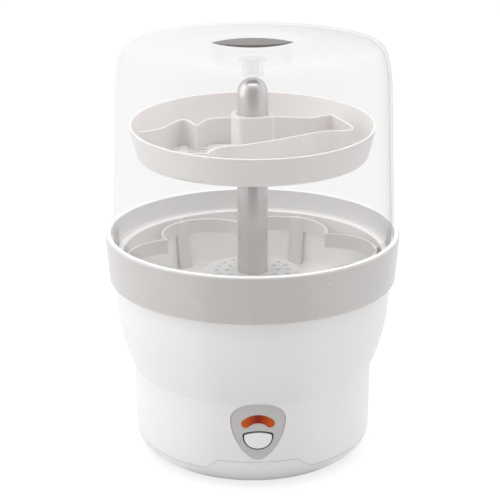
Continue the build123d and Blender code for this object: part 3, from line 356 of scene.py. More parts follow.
def metal(name, colour, roughness, brushed=(1, 1, 1)):
    """Bare metal with fine drawn or pressed streaks and uneven gloss."""
    mat, tree, shader, _ = tree_of(name)
    streak = spread(tree, noise(tree, 220, detail=5, rough=0.6, stretch=brushed), 0, 1)
    dark = tuple(c * 0.82 for c in colour)
    scratch = noise(tree, 700, detail=3, rough=0.6, stretch=brushed)
    feed(tree, shader, {
        "Base Color": tint(tree, streak, dark, colour),
        "Roughness": spread(tree, noise(tree, 90, detail=4), roughness * 0.75, roughness * 1.3),
        "Normal": bump(tree, scratch, 0.00001),
        "Metallic": 1.0,
    })
    return mat


def lighter_inside_painted_rim_highlight(mat, inner, edge, rim_highlight_edge, rim):
    """Gives a material a lighter colour within a radius of the Z axis that grows at the rim.

    The radius, in millimetres, widens from edge to a larger radius between two heights just under the rim, so
    the lighter colour covers the rim's top as a painted highlight.
    """
    tree = mat.node_tree
    shader = next(node for node in tree.nodes if node.type == "BSDF_PRINCIPLED")
    outer = shader.inputs["Base Color"].links[0].from_socket
    place = place_of(tree)
    # Painted highlight: near the rim the lighter colour spreads over the rim's top
    rim_highlight_start = (rim - 1.5) * MM
    rim_highlight_end = (rim - 0.8) * MM
    border = remap(tree, along(tree, place, "Z"), rim_highlight_start, rim_highlight_end, edge * MM, rim_highlight_edge * MM)
    within = maths(tree, "LESS_THAN", off_axis(tree, place), border)
    feed(tree, shader, {"Base Color": tint(tree, within, outer, inner)})


# Clear plastic: how steeply it greys and hazes towards its edges, with painted shade on its right-hand edges
# and its foot, and how it fades to its clear middle
GREYING_POWER = 9.0
HAZING_POWER = 6.0
FACE_ON = grey(0.964)
EDGE_LEFT = grey(0.95)
# Painted shade: edges greyer at the right, where less light falls, than at the left
EDGE_RIGHT_PAINTED_SHADE = grey(0.68)
# Painted shade at the lid's foot, for the shadowed gap between the lid and the collar
GAP_PAINTED_SHADE = (0.35, 0.345, 0.34)
# The stretch across X over which the painted shade on edge goes from left to right
PAINTED_SHADE_TURN = 100.0
CLEAREST = grey(0.993)
CLEAREST_SHARE = 0.05
CLEAR_FADE = 12.0
LIGHT_THROUGH = grey(0.97)


def clear_with_painted_shade(name, tone, haze, edge, rough, foot=0.0, well=0.0):
    """Thin clear plastic with a share of gloss that goes from haze, face on, to edge, on edge.

    It greys on edge, with painted shade that greys it less at the left than at the right, and most
    below the height foot, painted shade that stands for the shadowed gap under the lid's step.
    Within the radius well it is clearest. Both are in millimetres. Light passes straight through it.
    """
    mat, tree, shader, out = tree_of(name)
    feed(tree, shader, {
        "Base Color": tone,
        "Roughness": spread(tree, noise(tree, 30, detail=4), rough * 0.8, rough * 1.3),
        "Normal": bump(tree, noise(tree, 22, detail=1), 0.00004, strength=0.25),
    })
    place = place_of(tree)
    facing = add(tree, "ShaderNodeLayerWeight", {"Blend": 0.5}).outputs["Facing"]
    # Painted shade: the edge grey darkens from left to right across X
    painted_shade_rightward = remap(tree, along(tree, place, "X"), -PAINTED_SHADE_TURN * MM, PAINTED_SHADE_TURN * MM)
    # Painted shade of the shadowed gap under the lid's step, below the height foot
    below = maths(tree, "LESS_THAN", along(tree, place, "Z"), foot * MM)
    edge_grey_and_painted_shade = tint(tree, below, tint(tree, painted_shade_rightward, EDGE_LEFT, EDGE_RIGHT_PAINTED_SHADE), GAP_PAINTED_SHADE)
    body = tint(tree, maths(tree, "POWER", facing, GREYING_POWER), FACE_ON, edge_grey_and_painted_shade)
    inmost = CLEAREST_SHARE if well else 1.0
    outward = remap(tree, off_axis(tree, place), well * MM, (well + CLEAR_FADE) * MM, inmost)
    through = add(tree, "ShaderNodeBsdfTransparent", {"Color": tint(tree, outward, CLEAREST, body)})
    sheen = remap(tree, maths(tree, "POWER", facing, HAZING_POWER), 0, 1, haze, edge)
    seen = mix_shaders(tree, maths(tree, "MULTIPLY", sheen, outward), through, shader)
    path = add(tree, "ShaderNodeLightPath", {})
    light = maths(tree, "MAXIMUM", path.outputs["Is Shadow Ray"], path.outputs["Is Diffuse Ray"])
    lit = add(tree, "ShaderNodeBsdfTransparent", {"Color": LIGHT_THROUGH})
    feed(tree, out, {"Surface": mix_shaders(tree, light, seen, lit).outputs[0]})
    return mat


def crescent_lens(name, middle, tips, near, far):
    """Coloured lens that turns from its middle's colour to its tips' colour between two distances."""
    mat, tree, shader, _ = tree_of(name)
    aside = maths(tree, "ABSOLUTE", along(tree, place_of(tree), "X"))
    feed(tree, shader, {
        "Base Color": tint(tree, remap(tree, aside, near * MM, far * MM), middle, tips),
        "Roughness": spread(tree, noise(tree, 200, detail=3), 0.08, 0.16),
        "Specular IOR Level": 0.35,
    })
    return mat


def give(node, mat):
    """Gives a CAD node its material."""
    mesh = nodes[node].data
    mesh.materials.clear()
    mesh.materials.append(mat)


def dress(obj, mat, body, slot, *stands_for):
    """Gives a piece its material and its body, and hides the nodes that it stands for. The finish's name,
    slot, is not used.
    """
    obj.data.materials.clear()
    obj.data.materials.append(mat)
    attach(obj, body)
    if stands_for:
        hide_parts(*stands_for)


# Heights in millimetres that several pieces share
RACK_FLOOR = 124.8
COLLAR_TOP = 186.3
TRAY_BOTTOM = 246.6

base_white = moulded("base_white", (0.785, 0.773, 0.766), 0.32, coat=0.3)
tray_white = moulded("tray_white", (0.73, 0.715, 0.705), 0.34, see=0.15)
guide_white = moulded("guide_white", (0.76, 0.742, 0.732), 0.34)
plate_white = moulded("plate_white", (0.86, 0.85, 0.84), 0.36)
column_grey = moulded("column_grey", (0.62, 0.603, 0.592), 0.24, shine=0.65)
rack_grey = moulded("rack_grey", (0.53, 0.512, 0.502), 0.25, coat=0.5)
# The basket is lighter inside, and the lighter band over the rim's top is a painted highlight
lighter_inside_painted_rim_highlight(rack_grey, (0.93, 0.918, 0.91), edge=116.8, rim_highlight_edge=118.7, rim=COLLAR_TOP)
panel_grey = moulded("panel_grey", (0.535, 0.52, 0.515), 0.3, coat=0.3)
grip_grey = moulded("grip_grey", (0.135, 0.127, 0.122), 0.55)
bowl_white = moulded("bowl_white", (0.78, 0.77, 0.76), 0.36)
button_white = moulded("button_white", (0.84, 0.83, 0.82), 0.16, coat=0.7)
seal_dark = moulded("seal_dark", (0.07, 0.068, 0.066), 0.5)
foot_rubber = moulded("foot_rubber", grey(0.06), 0.7, grain=0.00003, shade=0.8)
silicone_grey = moulded("silicone_grey", grey(0.42), 0.5, see=0.2)
block_nylon = moulded("block_nylon", (0.72, 0.70, 0.64), 0.4)
lead_red = moulded("lead_red", (0.45, 0.03, 0.03), 0.4)
gland_grey = moulded("gland_grey", (0.32, 0.31, 0.31), 0.6)
switch_black = moulded("switch_black", grey(0.03), 0.35)
thermostat_dark = moulded("thermostat_dark", (0.06, 0.055, 0.05), 0.4)
board_green = moulded("board_green", (0.02, 0.16, 0.07), 0.3, grain=0.00002, shade=0.7)
screw_steel = metal("screw_steel", (0.62, 0.61, 0.6), 0.28)
dish_steel = metal("dish_steel", (0.66, 0.65, 0.64), 0.2, brushed=(1, 6, 1))
spreader_metal = metal("spreader_metal", (0.72, 0.72, 0.73), 0.4)
heater_steel = metal("heater_steel", (0.4, 0.39, 0.38), 0.42)
fuse_tin = metal("fuse_tin", (0.62, 0.62, 0.6), 0.35)
spring_steel = metal("spring_steel", grey(0.6), 0.25)
lens_orange = crescent_lens("lens_orange", (0.25, 0.016, 0.008), (0.52, 0.085, 0.01), near=1.0, far=9.5)
# The lid's foot below 187.8 mm gets painted shade for the gap between it and the collar
lid_clear = clear_with_painted_shade("lid_clear", (0.86, 0.86, 0.865), 0.06, 0.16, rough=0.06, foot=187.8, well=37.0)
vent_clear = clear_with_painted_shade("vent_clear", grey(0.86), 0.03, 0.1, rough=0.1)
lamp_clear = clear_with_painted_shade("lamp_clear", (0.8, 0.3, 0.1), 0.4, 0.8, rough=0.1)

finishes = {
    "base_housing": base_white, "base_pan": base_white, "rubber_feet": foot_rubber,
    "pan_screws": screw_steel, "inner_bowl": bowl_white, "dish_seal": silicone_grey,
    "boiler_dish": dish_steel, "dish_clamp_ring": fuse_tin, "dish_screws": screw_steel,
    "heat_spreader": spreader_metal, "heating_element": heater_steel, "thermostat": thermostat_dark,
    "thermostat_bracket": fuse_tin, "thermal_fuse": fuse_tin, "fuse_clip": fuse_tin,
    "small_screws": screw_steel, "terminal_block": block_nylon, "terminal_screws": screw_steel,
    "internal_leads": lead_red, "cord_gland": gland_grey, "panel_bezel": panel_grey,
    "indicator_lens": lens_orange, "indicator_lamps": lamp_clear, "control_board": board_green,
    "power_switch": switch_black, "button_seal": seal_dark, "button_spring": spring_steel,
    "power_button": button_white, "rack_basket": rack_grey, "bottle_guide": guide_white,
    "steam_plate": plate_white, "column": column_grey, "column_screw": screw_steel,
    "small_parts_tray": tray_white, "lid_shell": lid_clear, "lid_grip": grip_grey,
    "steam_vent": vent_clear,
}
for node, finish in finishes.items():
    give(node, finish)

# Lid: a stepped foot, slightly tapered sides, a round shoulder and a recess in the crown
LID_FOOT = 169.1
LID_FOOT_RADIUS = 112.4
LID_STEP_LOW = 186.1
LID_STEP_HIGH = 189.6
LID_RADIUS = 115.2
LID_TOP = 342.4
LID_WALL = 2.0
SHOULDER = 292.1
SHOULDER_RADIUS = 110.6
SHOULDER_RISE = (110.0, 312.1)
SHOULDER_TURN_RADIUS = 108.6
SHOULDER_TURN_DROP = 5.8
SHOULDER_STEPS = 28
CROWN_RADIUS = 98.5
CROWN_DROP = 3.5
CROWN_PULL = 82.0
CROWN_STEPS = 40
RECESS_FLOOR = 324.6
RECESS_RADIUS = 33.5
RECESS_FLOOR_RADIUS = 31.0
RECESS_RIM_OUTER = 1.6
RECESS_RIM_INNER = 1.2
RECESS_RIM_LIFT = 0.02
VENT_BORE = 8.25


def lid_side(inset):
    """The lid's surface from the foot up to the crown's middle, drawn in by an inset."""
    top = LID_TOP - inset
    shoulder = (SHOULDER_RADIUS - inset, SHOULDER)
    edge = (CROWN_RADIUS - inset, top - CROWN_DROP)
    points = [
        (LID_FOOT_RADIUS - inset, LID_FOOT), (LID_FOOT_RADIUS - inset, LID_STEP_LOW),
        (LID_RADIUS - inset, LID_STEP_HIGH), shoulder,
    ]
    rise = (SHOULDER_RISE[0] - inset, SHOULDER_RISE[1])
    turn = (SHOULDER_TURN_RADIUS - inset, top - SHOULDER_TURN_DROP)
    points += bezier([shoulder, rise, turn, edge], SHOULDER_STEPS)
    crown = bezier([edge, (CROWN_PULL - inset, top), (0, top)], CROWN_STEPS)
    return points, crown


outer_side, outer_crown = lid_side(0)
inner_side, inner_crown = lid_side(LID_WALL)
outer_crown = [p for p in outer_crown if p[0] > RECESS_RADIUS + RECESS_RIM_OUTER]
inner_crown = [p for p in inner_crown if p[0] > RECESS_RADIUS + LID_WALL + RECESS_RIM_INNER]
recess_rim = (RECESS_RADIUS, outer_crown[-1][1] + RECESS_RIM_LIFT)
recess_under_rim = (RECESS_RADIUS + LID_WALL, inner_crown[-1][1] + RECESS_RIM_LIFT)
well = [
    recess_rim, (RECESS_FLOOR_RADIUS, RECESS_FLOOR), (VENT_BORE, RECESS_FLOOR),
    (VENT_BORE, RECESS_FLOOR - LID_WALL), (RECESS_FLOOR_RADIUS + LID_WALL, RECESS_FLOOR - LID_WALL),
    recess_under_rim,
]
lid_outline = outer_side + outer_crown + well + inner_crown[::-1] + inner_side[::-1]
side_radii = [0.9, 3.0, 3.0, 0] + [0] * SHOULDER_STEPS
well_radii = [1.4, 2.4, 0.2, 0.2, 3.4, 1.4]
lid_radii = side_radii + [0] * len(outer_crown) + well_radii + [0] * len(inner_crown) + side_radii[::-1]
lid = piece("lid_body", [lathe(rounded(lid_outline, lid_radii, 5), 256)])
dress(lid, lid_clear, "lid", "lid_clear", "lid_shell")

# Two bosses under the grip, part of the lid
BOSS_PLACE = 26.5
BOSS_TOP = 338.2
BOSS_RADIUS = 2.2
BOSS_FOOT_RADIUS = 3.4
boss_foot = RECESS_FLOOR - 1
boss_outline = [(AXIS, boss_foot), (BOSS_FOOT_RADIUS, boss_foot), (BOSS_RADIUS, BOSS_TOP), (AXIS, BOSS_TOP)]
boss = lathe(rounded(boss_outline, [0, 0, 0.6, 0], 4), 40)
bosses = piece("lid_bosses", [placed(boss, 0, side * BOSS_PLACE) for side in (-1, 1)])
dress(bosses, lid_clear, "lid", "lid_clear")

# Grip: a leaf-shaped bar with a crowned top and eased edges, drawn on a section 2 mm high
LEAF_OFFSET = 24.0
LEAF_RADIUS = 40.0
GRIP_HALF = 32.0
GRIP_MIDDLE = 338.45
GRIP_HALF_DEPTH = 1.05
GRIP_TIP_DEPTH = 0.55
GRIP_SECTION = 2.0
EDGE_TOP = 1.7
CROWN_RISE = 0.02


def leaf(inset, height, count=40):
    """Leaf outline drawn in by an inset."""
    r = LEAF_RADIUS - inset
    half = math.sqrt(max(r * r - LEAF_OFFSET * LEAF_OFFSET, 0.01))
    ring = []
    for side in (1, -1):
        for i in range(count):
            x = side * half * math.cos(math.pi * i / count)
            y = side * (math.sqrt(r * r - x * x) - LEAF_OFFSET)
            ring.append((x, y, height))
    return ring


def on_grip(point):
    """The bar is thickest in the middle, and both its faces close towards the tips."""
    x, y, z = point
    swell = GRIP_HALF_DEPTH * (1 - (x / GRIP_HALF) ** 2)
    under = GRIP_MIDDLE - swell
    over = GRIP_MIDDLE + swell + GRIP_TIP_DEPTH
    return x, y, under + (over - under) * z / GRIP_SECTION


grip_under = [(inset, 0) for inset in (15.5, 10, 5, 1.0, 0.4)]
grip_edge = [(0.12, 0.3), (0, 0.8), (0, 1.0), (0.1, 1.3), (0.4, 1.6), (0.8, EDGE_TOP)]
grip_crown = [(inset, EDGE_TOP + CROWN_RISE * inset) for inset in (2, 4, 7, 10, 13, 15.5)]
grip_points, grip_faces = loft([leaf(*ring) for ring in grip_under + grip_edge + grip_crown])
grip = piece("grip_bar", [([on_grip(p) for p in grip_points], grip_faces)], sharp=38)
dress(grip, grip_grey, "lid", "grip_grey", "lid_grip")

# Steam vent: a flanged tube through the recess floor
VENT_INNER = 4.5
VENT_OUTER = 8.2
VENT_LENGTH = 12
VENT_FLANGE_RADIUS = 11
VENT_FLANGE = 1.3
vent_outline = [
    (VENT_INNER, RECESS_FLOOR - VENT_LENGTH), (VENT_OUTER, RECESS_FLOOR - VENT_LENGTH),
    (VENT_OUTER, RECESS_FLOOR), (VENT_FLANGE_RADIUS, RECESS_FLOOR),
    (VENT_FLANGE_RADIUS, RECESS_FLOOR + VENT_FLANGE), (VENT_INNER, RECESS_FLOOR + VENT_FLANGE),
]
vent = piece("vent_tube", [lathe(rounded(vent_outline, [0.5, 0.6, 0, 0.2, 0.5, 0.6], 4), 96)])
dress(vent, vent_clear, "lid", "vent_frosted", "steam_vent")

# Column with a domed top, a foot flange and three nibs under the tray
COLUMN_TOP = 310.8
COLUMN_RADIUS = 12.4
COLUMN_DOME = 15
COLUMN_FOOT_RADIUS = 18
COLUMN_FOOT = 3
COLUMN_HOLE = 2.6
COLUMN_HOLE_DEPTH = 13
COLUMN_HOLE_POINT = 1
NIB_INNER = 11.3
NIB_OUTER = 14.6
NIB_HALF = 1.5
dome_foot = (COLUMN_RADIUS, COLUMN_TOP - COLUMN_DOME)
dome = bezier([dome_foot, (COLUMN_RADIUS, COLUMN_TOP), (AXIS, COLUMN_TOP)], 24)
column_outline = [
    (COLUMN_HOLE, RACK_FLOOR), (COLUMN_FOOT_RADIUS, RACK_FLOOR),
    (COLUMN_FOOT_RADIUS, RACK_FLOOR + COLUMN_FOOT), (COLUMN_RADIUS, RACK_FLOOR + COLUMN_FOOT), dome_foot,
]
column_outline += dome
hole_top = RACK_FLOOR + COLUMN_HOLE_DEPTH
column_outline += [(AXIS, hole_top + COLUMN_HOLE_POINT), (COLUMN_HOLE, hole_top)]
column_radii = [0, 0.3, 1.2, 1.5] + [0] * (len(column_outline) - 4)
nib_low = TRAY_BOTTOM - 4.3
nib_high = TRAY_BOTTOM - 0.3
nib_loops = [
    [
        (NIB_INNER, -NIB_HALF, z), (NIB_OUTER - pull, -NIB_HALF + pull, z),
        (NIB_OUTER - pull, NIB_HALF - pull, z), (NIB_INNER, NIB_HALF, z),
    ]
    for z, pull in ((nib_low, 1.0), (nib_low + 1.2, 0.2), (nib_low + 2, 0), (nib_high, 0))
]
nibs = [placed(loft(nib_loops), angle) for angle in (90, 210, 330)]
column = piece("column_tube", [lathe(rounded(column_outline, column_radii, 5), 128)] + nibs)
dress(column, column_grey, "rack", "column_grey", "column")

# Tray: a drafted bowl whose rim falls towards the front, with slots in its floor
TRAY_RIM = 274.5
TRAY_FOOT_RADIUS = 92.0
TRAY_DRAFT = 0.233
TRAY_WALL = 2
RIM_SLOPE = 0.0454
TILT_START = 5
TRAY_BORE = 12.48
SLOT_LENGTH = 17.0
SLOT_WIDTH = 3.4
SLOT_COLUMN_PITCH = 22.0
SLOT_ROW_PITCH = 9.0
SLOT_EDGE_MARGIN = 17
HUB_KEEP_OUT = 27
rim_radius = TRAY_FOOT_RADIUS + TRAY_DRAFT * (TRAY_RIM - TRAY_BOTTOM)
tray_floor = TRAY_BOTTOM + TRAY_WALL
tray_outline = [
    (TRAY_BORE, TRAY_BOTTOM), (TRAY_FOOT_RADIUS, TRAY_BOTTOM), (rim_radius, TRAY_RIM),
    (rim_radius - TRAY_WALL, TRAY_RIM),
    (TRAY_FOOT_RADIUS - TRAY_WALL + TRAY_DRAFT * TRAY_WALL, tray_floor), (TRAY_BORE, tray_floor),
]


def tilted(point):
    """A point of the bowl moved onto the sloping rim, in step with its height."""
    x, y, z = point
    share = max(0.0, (z - TRAY_BOTTOM - TILT_START) / (TRAY_RIM - TRAY_BOTTOM - TILT_START))
    rise = share * y * RIM_SLOPE
    r = math.hypot(x, y)
    grow = (r + TRAY_DRAFT * rise) / r
    return x * grow, y * grow, z + rise


bowl_points, bowl_faces = lathe(rounded(tray_outline, [0, 7, 0.95, 0.95, 5, 0], 7), 256)
tray_bowl = piece("tray_bowl", [([tilted(p) for p in bowl_points], bowl_faces)], sharp=38)
tray_slot = slot_prism(SLOT_LENGTH, SLOT_WIDTH, TRAY_BOTTOM - 1, tray_floor + 1)
tray_slots = []
for column_step in range(-3, 4):
    for row in range(-7, 8):
        x = column_step * SLOT_COLUMN_PITCH
        y = row * SLOT_ROW_PITCH
        in_floor = math.hypot(x, y) < TRAY_FOOT_RADIUS - SLOT_EDGE_MARGIN
        if in_floor and max(abs(x), abs(y)) > HUB_KEEP_OUT:
            tray_slots.append(placed(tray_slot, 0, x, y))
drill(tray_bowl, tray_slots, sharp=38)
dress(tray_bowl, tray_white, "tray", "tray_white", "small_parts_tray")

# Hub of the tray: a turned square tube with eased edges
HUB_TURN = 10.0
HUB_TOP = 282.2
HUB_HALF_X = 15.5
HUB_HALF_Y = 14.5
HUB_CORNER = 19.1
hub_planes = [(0, HUB_HALF_X), (math.pi, HUB_HALF_X), (math.pi / 2, HUB_HALF_Y), (-math.pi / 2, HUB_HALF_Y)]
hub_planes += [(math.radians(a), HUB_CORNER) for a in (45, 135, 225, 315)]


def hub_ring(inset, z, count=120):
    """The hub's outline at a height, drawn in by an inset."""
    ring = []
    for i in range(count):
        a = 2 * math.pi * i / count
        r = polar([(d, s - inset) for d, s in hub_planes], a)
        ring.append((r * math.cos(a), r * math.sin(a), z))
    return ring


def bore_ring(r, z, count=120):
    """A round outline at a height."""
    angles = [2 * math.pi * i / count for i in range(count)]
    return [(r * math.cos(a), r * math.sin(a), z) for a in angles]


hub_loops = [
    bore_ring(TRAY_BORE, TRAY_BOTTOM), hub_ring(0.5, TRAY_BOTTOM), hub_ring(0, TRAY_BOTTOM + 0.5),
    hub_ring(0, HUB_TOP - 1.6), hub_ring(0.25, HUB_TOP - 1.0), hub_ring(1.2, HUB_TOP - 0.15),
    hub_ring(1.7, HUB_TOP), bore_ring(TRAY_BORE + 0.35, HUB_TOP), bore_ring(TRAY_BORE, HUB_TOP - 0.4),
]
hub = piece("tray_hub", [placed(loft(hub_loops, True), HUB_TURN)], sharp=38)
dress(hub, tray_white, "tray", "tray_white")

# Divider walls of the tray, as points seen from above. They end inside the tray's wall, as it is
# at WALL_HEIGHT above the tray's bottom.
DIVIDER_TOP = 270.0
DIVIDER_WIDTH = 1.8
DIVIDER_PIN = 1.25
WALL_CLEARANCE = 3.5
WALL_HEIGHT = 6
divider_front = [
    (-43, -92), (-29.6, -60.5), (-6.4, -50.8), (29.4, -28.6), (54.6, -11.4), (73.8, -9.2),
    (80.1, 1.5), (71.3, 36.3), (65.7, 45.7), (47.2, 35.5), (15.5, 42.4), (-30.9, 37.1), (-44.3, 12.9),
]
divider_left = [divider_front[-1], (-56.5, 34.5), (-76, 0.7), (-99, -9.8)]


def smooth_path(points, steps=10):
    """A curve through points seen from above."""
    out = []
    last = len(points) - 1
    for i in range(last):
        p1 = Vector(points[i])
        p2 = Vector(points[i + 1])
        p0 = Vector(points[i - 1]) if i else p1 - (p2 - p1)
        p3 = Vector(points[i + 2]) if i + 1 < last else p2 + (p2 - p1)
        for k in range(steps):
            t = k / steps
            q = 0.5 * (
                2 * p1 + (p2 - p0) * t + (2 * p0 - 5 * p1 + 4 * p2 - p3) * t * t
                + (3 * p1 - p0 - 3 * p2 + p3) * t * t * t
            )
            out.append((q.x, q.y))
    out.append(tuple(points[-1]))
    return out


def wall_section(width, low, high):
    """Section of an upright wall with a round top edge."""
    half = width / 2
    section = [(-half, low), (half, low), (half, high - half)]
    for i in range(1, 8):
        a = math.pi * i / 8
        section.append((half * math.cos(a), high - half + half * math.sin(a)))
    section.append((-half, high - half))
    return section


def inside_wall(path):
    """The stretch of a path that lies inside the tray's wall, low down where the wall is narrow."""
    limit = TRAY_FOOT_RADIUS + TRAY_DRAFT * WALL_HEIGHT - WALL_CLEARANCE
    return [p for p in path if math.hypot(*p) < limit]


divider_foot = TRAY_BOTTOM + 1
divider_section = wall_section(DIVIDER_WIDTH, divider_foot, DIVIDER_TOP)
divider_paths = [inside_wall(smooth_path(points)) for points in (divider_front, divider_left)]
divider_shapes = [ribbon(path, divider_section) for path in divider_paths]
pin_outline = [
    (AXIS, divider_foot), (DIVIDER_PIN, divider_foot), (DIVIDER_PIN, DIVIDER_TOP), (AXIS, DIVIDER_TOP),
]
pin = lathe(rounded(pin_outline, [0, 0, 0.9, 0], 5), 24)
divider_shapes.append(placed(pin, 0, *divider_left[0]))
divider = piece("tray_divider", divider_shapes)
dress(divider, tray_white, "tray", "tray_white")

# Rack: collar, ledge and basket, with drain slots and steam holes in the floor
LEDGE_BOTTOM = 166.6
LEDGE_TOP = 168.8
COLLAR_FOOT = 147.7
COLLAR_RADIUS = 120
COLLAR_FOOT_RADIUS = 117.3
COLLAR_BORE = 115.2
COLLAR_SKIRT_BORE = 113.9
BASKET_RADIUS = 105.8
BASKET_FLOOR_RADIUS = 100.83
BASKET_OUTER_RADIUS = 107.8
BASKET_BOTTOM_RADIUS = 102.59
BASKET_WALL = 2
SCREW_HOLE = 2.55
DRAIN_LENGTH = 18
DRAIN_WIDTH = 5
DRAIN_PLACE = 64
STEAM_HOLE = 10
STEAM_HOLE_PLACE = 27
rack_bottom = RACK_FLOOR - BASKET_WALL
rack_outline = [
    (SCREW_HOLE, RACK_FLOOR), (BASKET_FLOOR_RADIUS, RACK_FLOOR), (BASKET_RADIUS, LEDGE_BOTTOM),
    (BASKET_RADIUS, LEDGE_TOP), (COLLAR_BORE, LEDGE_TOP), (COLLAR_BORE, COLLAR_TOP),
    (COLLAR_RADIUS, COLLAR_TOP), (COLLAR_FOOT_RADIUS, COLLAR_FOOT), (COLLAR_SKIRT_BORE, COLLAR_FOOT),
    (COLLAR_SKIRT_BORE, LEDGE_BOTTOM), (BASKET_OUTER_RADIUS, LEDGE_BOTTOM),
    (BASKET_BOTTOM_RADIUS, rack_bottom), (SCREW_HOLE, rack_bottom),
]
rack_radii = [0, 4, 0, 0.9, 1.0, 1.2, 2.2, 2.4, 0.6, 0.5, 0.5, 6, 0]
rack = piece("rack_bowl", [lathe(rounded(rack_outline, rack_radii, 7), 256)], sharp=38)
drain = slot_prism(DRAIN_LENGTH, DRAIN_WIDTH, rack_bottom - 1, RACK_FLOOR + 1)
hole = slot_prism(STEAM_HOLE, STEAM_HOLE - 0.01, rack_bottom - 1, RACK_FLOOR + 1, 16)
floor_cuts = [placed(placed(drain, 0, DRAIN_PLACE), 30 * i) for i in range(12)]
floor_cuts += [placed(placed(hole, 0, STEAM_HOLE_PLACE), 60 * i) for i in range(6)]
drill(rack, floor_cuts, sharp=38)
dress(rack, rack_grey, "rack", "rack_grey", "rack_basket")

# Wavy bottle guide on posts, with ribs to the basket's wall
GUIDE_TOP = 166.5
GUIDE_LOW = 154.0
GUIDE_TURN = 4.5
GUIDE_RADIUS = 103.5
GUIDE_WALL = 2.0
LOBES = 6
LOBE_PLACE = 63.0
LOBE_RADIUS = 39.5
LOBE_SWEEP = 82.4
LOBE_STEPS = 32
POST_INNER = 96.5
POST_OUTER_LOW = 98.9
POST_OUTER_HIGH = GUIDE_RADIUS - 0.1
POST_WIDTH = 12
POST_TOP = GUIDE_TOP - 0.6
RIB_INNER = GUIDE_RADIUS - GUIDE_WALL
RIB_OUTER_LOW = 104.9
RIB_OUTER_HIGH = 105.5
RIB_WIDTH = 2.4
RIB_BOTTOM = GUIDE_TOP - 7


def guide_path():
    """The guide's wavy line seen from above, one arc for each bottle."""
    path = []
    for lobe in range(LOBES):
        turn = math.radians(GUIDE_TURN + 360 / LOBES * lobe)
        for i in range(LOBE_STEPS + 1):
            a = turn + math.radians(-LOBE_SWEEP + 2 * LOBE_SWEEP * i / LOBE_STEPS)
            path.append((
                LOBE_PLACE * math.cos(turn) + LOBE_RADIUS * math.cos(a),
                LOBE_PLACE * math.sin(turn) + LOBE_RADIUS * math.sin(a),
            ))
    return path


def rounded_bar(inner, outer_low, outer_high, width, low, high, ease):
    """Upright bar along +X with eased edges, leaning with the basket's wall."""
    loops = []
    middle = low + (high - low) * 0.6
    levels = [
        (low, 0.0), (middle, 0.0), (high - ease, 0.0), (high - ease * 0.3, ease * 0.3), (high, ease),
    ]
    for z, pull in levels:
        lean = (outer_high - outer_low) * min(1.0, (z - low) / (middle - low))
        start = inner + lean + pull
        outer = outer_low + lean - pull
        half = width / 2 - pull
        corners = [(start, -half), (outer, -half), (outer, half), (start, half)]
        loops.append([(x, y, z) for x, y in rounded(corners, [1.0] * 4, 4)])
    return loft(loops)


guide_shapes = [ribbon(guide_path(), wall_section(GUIDE_WALL, GUIDE_LOW, GUIDE_TOP), True)]
post = rounded_bar(POST_INNER, POST_OUTER_LOW, POST_OUTER_HIGH, POST_WIDTH, RACK_FLOOR, POST_TOP, 0.8)
rib = rounded_bar(RIB_INNER, RIB_OUTER_LOW, RIB_OUTER_HIGH, RIB_WIDTH, RIB_BOTTOM, GUIDE_TOP, 0.5)
for lobe in range(LOBES):
    angle = GUIDE_TURN + 360 / LOBES * lobe
    guide_shapes += [placed(post, angle), placed(rib, angle)]
guide = piece("guide_ring", guide_shapes, sharp=38)
dress(guide, guide_white, "rack", "guide_white", "bottle_guide")

# Floor and surroundings, dimmer in front of the object, in the -Y direction, than behind it.
# Each turn is the stretch of direction over which a pair of strengths goes from front to back.
FLOOR_HALF = 6
FLOOR_ALBEDO = 0.65
FLOOR_ALBEDO_SEEN = 0.22
FLOOR_GLOW_SEEN = 0.78
FLOOR_MIRROR_TURN = (-0.92, -0.7)
FLOOR_MIRRORED = (0.25, 0.95)
SKY_SEEN = 1.02
SKY_LIGHT_TURN = (-0.6, 0.5)
SKY_LIGHT = (0.72, 1.15)
SKY_MIRROR_TURN = (-0.9, -0.6)
SKY_MIRRORED = (0.3, 1.0)


def floor_material():
    """A floor with one look for the camera, one for mirrored rays and one for the light it gives back."""
    mat, tree, shader, out = tree_of("floor")
    feed(tree, shader, {"Base Color": grey(FLOOR_ALBEDO), "Roughness": 0.7})
    matt = add(tree, "ShaderNodeBsdfDiffuse", {"Color": grey(FLOOR_ALBEDO_SEEN)})
    glow = add(tree, "ShaderNodeEmission", {"Strength": FLOOR_GLOW_SEEN})
    seen = add(tree, "ShaderNodeAddShader", {0: matt.outputs[0], 1: glow.outputs[0]})
    direction = add(tree, "ShaderNodeVectorMath", {0: place_of(tree)}, operation="NORMALIZE")
    depth = along(tree, direction.outputs["Vector"], "Y")
    strength = remap(tree, depth, *FLOOR_MIRROR_TURN, *FLOOR_MIRRORED, kind="SMOOTHSTEP")
    mirrored = add(tree, "ShaderNodeEmission", {"Strength": strength})
    path = add(tree, "ShaderNodeLightPath", {})
    unseen = mix_shaders(tree, path.outputs["Is Glossy Ray"], shader, mirrored)
    last = mix_shaders(tree, path.outputs["Is Camera Ray"], unseen, seen)
    feed(tree, out, {"Surface": last.outputs[0]})
    return mat


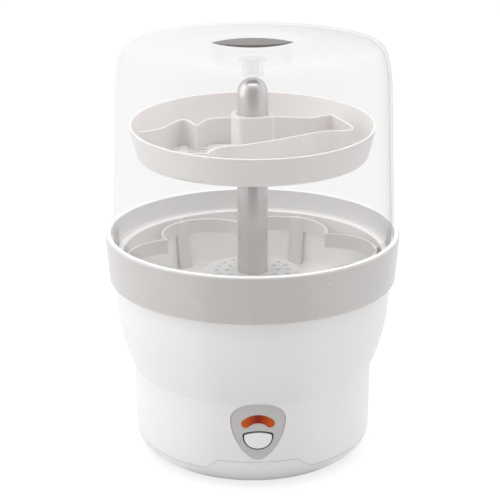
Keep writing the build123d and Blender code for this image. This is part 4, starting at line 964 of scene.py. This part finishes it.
def make_floor():
    """A level square under the object."""
    mesh = bpy.data.meshes.new("floor")
    corners = [(-1, -1), (1, -1), (1, 1), (-1, 1)]
    mesh.from_pydata([(x * FLOOR_HALF, y * FLOOR_HALF, 0) for x, y in corners], [], [(0, 1, 2, 3)])
    mesh.materials.append(floor_material())
    floor = bpy.data.objects.new("floor", mesh)
    bpy.context.scene.collection.objects.link(floor)


def make_surroundings():
    """White to the camera, with one strength for mirrored rays and one for the light it gives."""
    world = bpy.data.worlds.new("studio")
    bpy.context.scene.world = world
    world.use_nodes = True
    sky = world.node_tree
    seen = sky.nodes["Background"]
    feed(sky, seen, {"Color": grey(1), "Strength": SKY_SEEN})
    depth = along(sky, add(sky, "ShaderNodeTexCoord", {}).outputs["Generated"], "Y")
    light = remap(sky, depth, *SKY_LIGHT_TURN, *SKY_LIGHT, kind="SMOOTHSTEP")
    mirrored = remap(sky, depth, *SKY_MIRROR_TURN, *SKY_MIRRORED, kind="SMOOTHSTEP")
    path = add(sky, "ShaderNodeLightPath", {})
    strength = add(sky, "ShaderNodeMix", {"Factor": path.outputs["Is Glossy Ray"], "A": light, "B": mirrored})
    unseen = add(sky, "ShaderNodeBackground", {"Color": grey(1), "Strength": strength.outputs["Result"]})
    last = mix_shaders(sky, path.outputs["Is Camera Ray"], unseen, seen)
    feed(sky, sky.nodes["World Output"], {"Surface": last.outputs[0]})


def area_light(name, place, target, size, power):
    """A rectangular softbox turned towards a target, with its size in metres and its power in watts."""
    data = bpy.data.lights.new(name, "AREA")
    data.shape = "RECTANGLE"
    data.size, data.size_y = size
    data.energy = power
    obj = bpy.data.objects.new(name, data)
    bpy.context.scene.collection.objects.link(obj)
    obj.location = place
    obj.rotation_mode = "QUATERNION"
    obj.rotation_quaternion = (Vector(target) - Vector(place)).to_track_quat("-Z", "Y")


make_floor()
make_surroundings()
area_light("left_softbox", (-1.5, 0.0, 0.8), (0, 0, 0.2), (1.4, 1.6), 9.5)
area_light("right_softbox", (1.5, 0.3, 0.7), (0, 0, 0.2), (1.2, 1.4), 2.4)
area_light("top_softbox", (0, 0.1, 2.2), (0, 0, 0), (2.2, 2.2), 38)

scene = bpy.context.scene
scene.view_settings.view_transform = "Standard"
scene.cycles.transparent_max_bounces = 32
scene.cycles.sample_clamp_indirect = 2.0
scene.cycles.caustics_reflective = False
scene.cycles.caustics_refractive = False
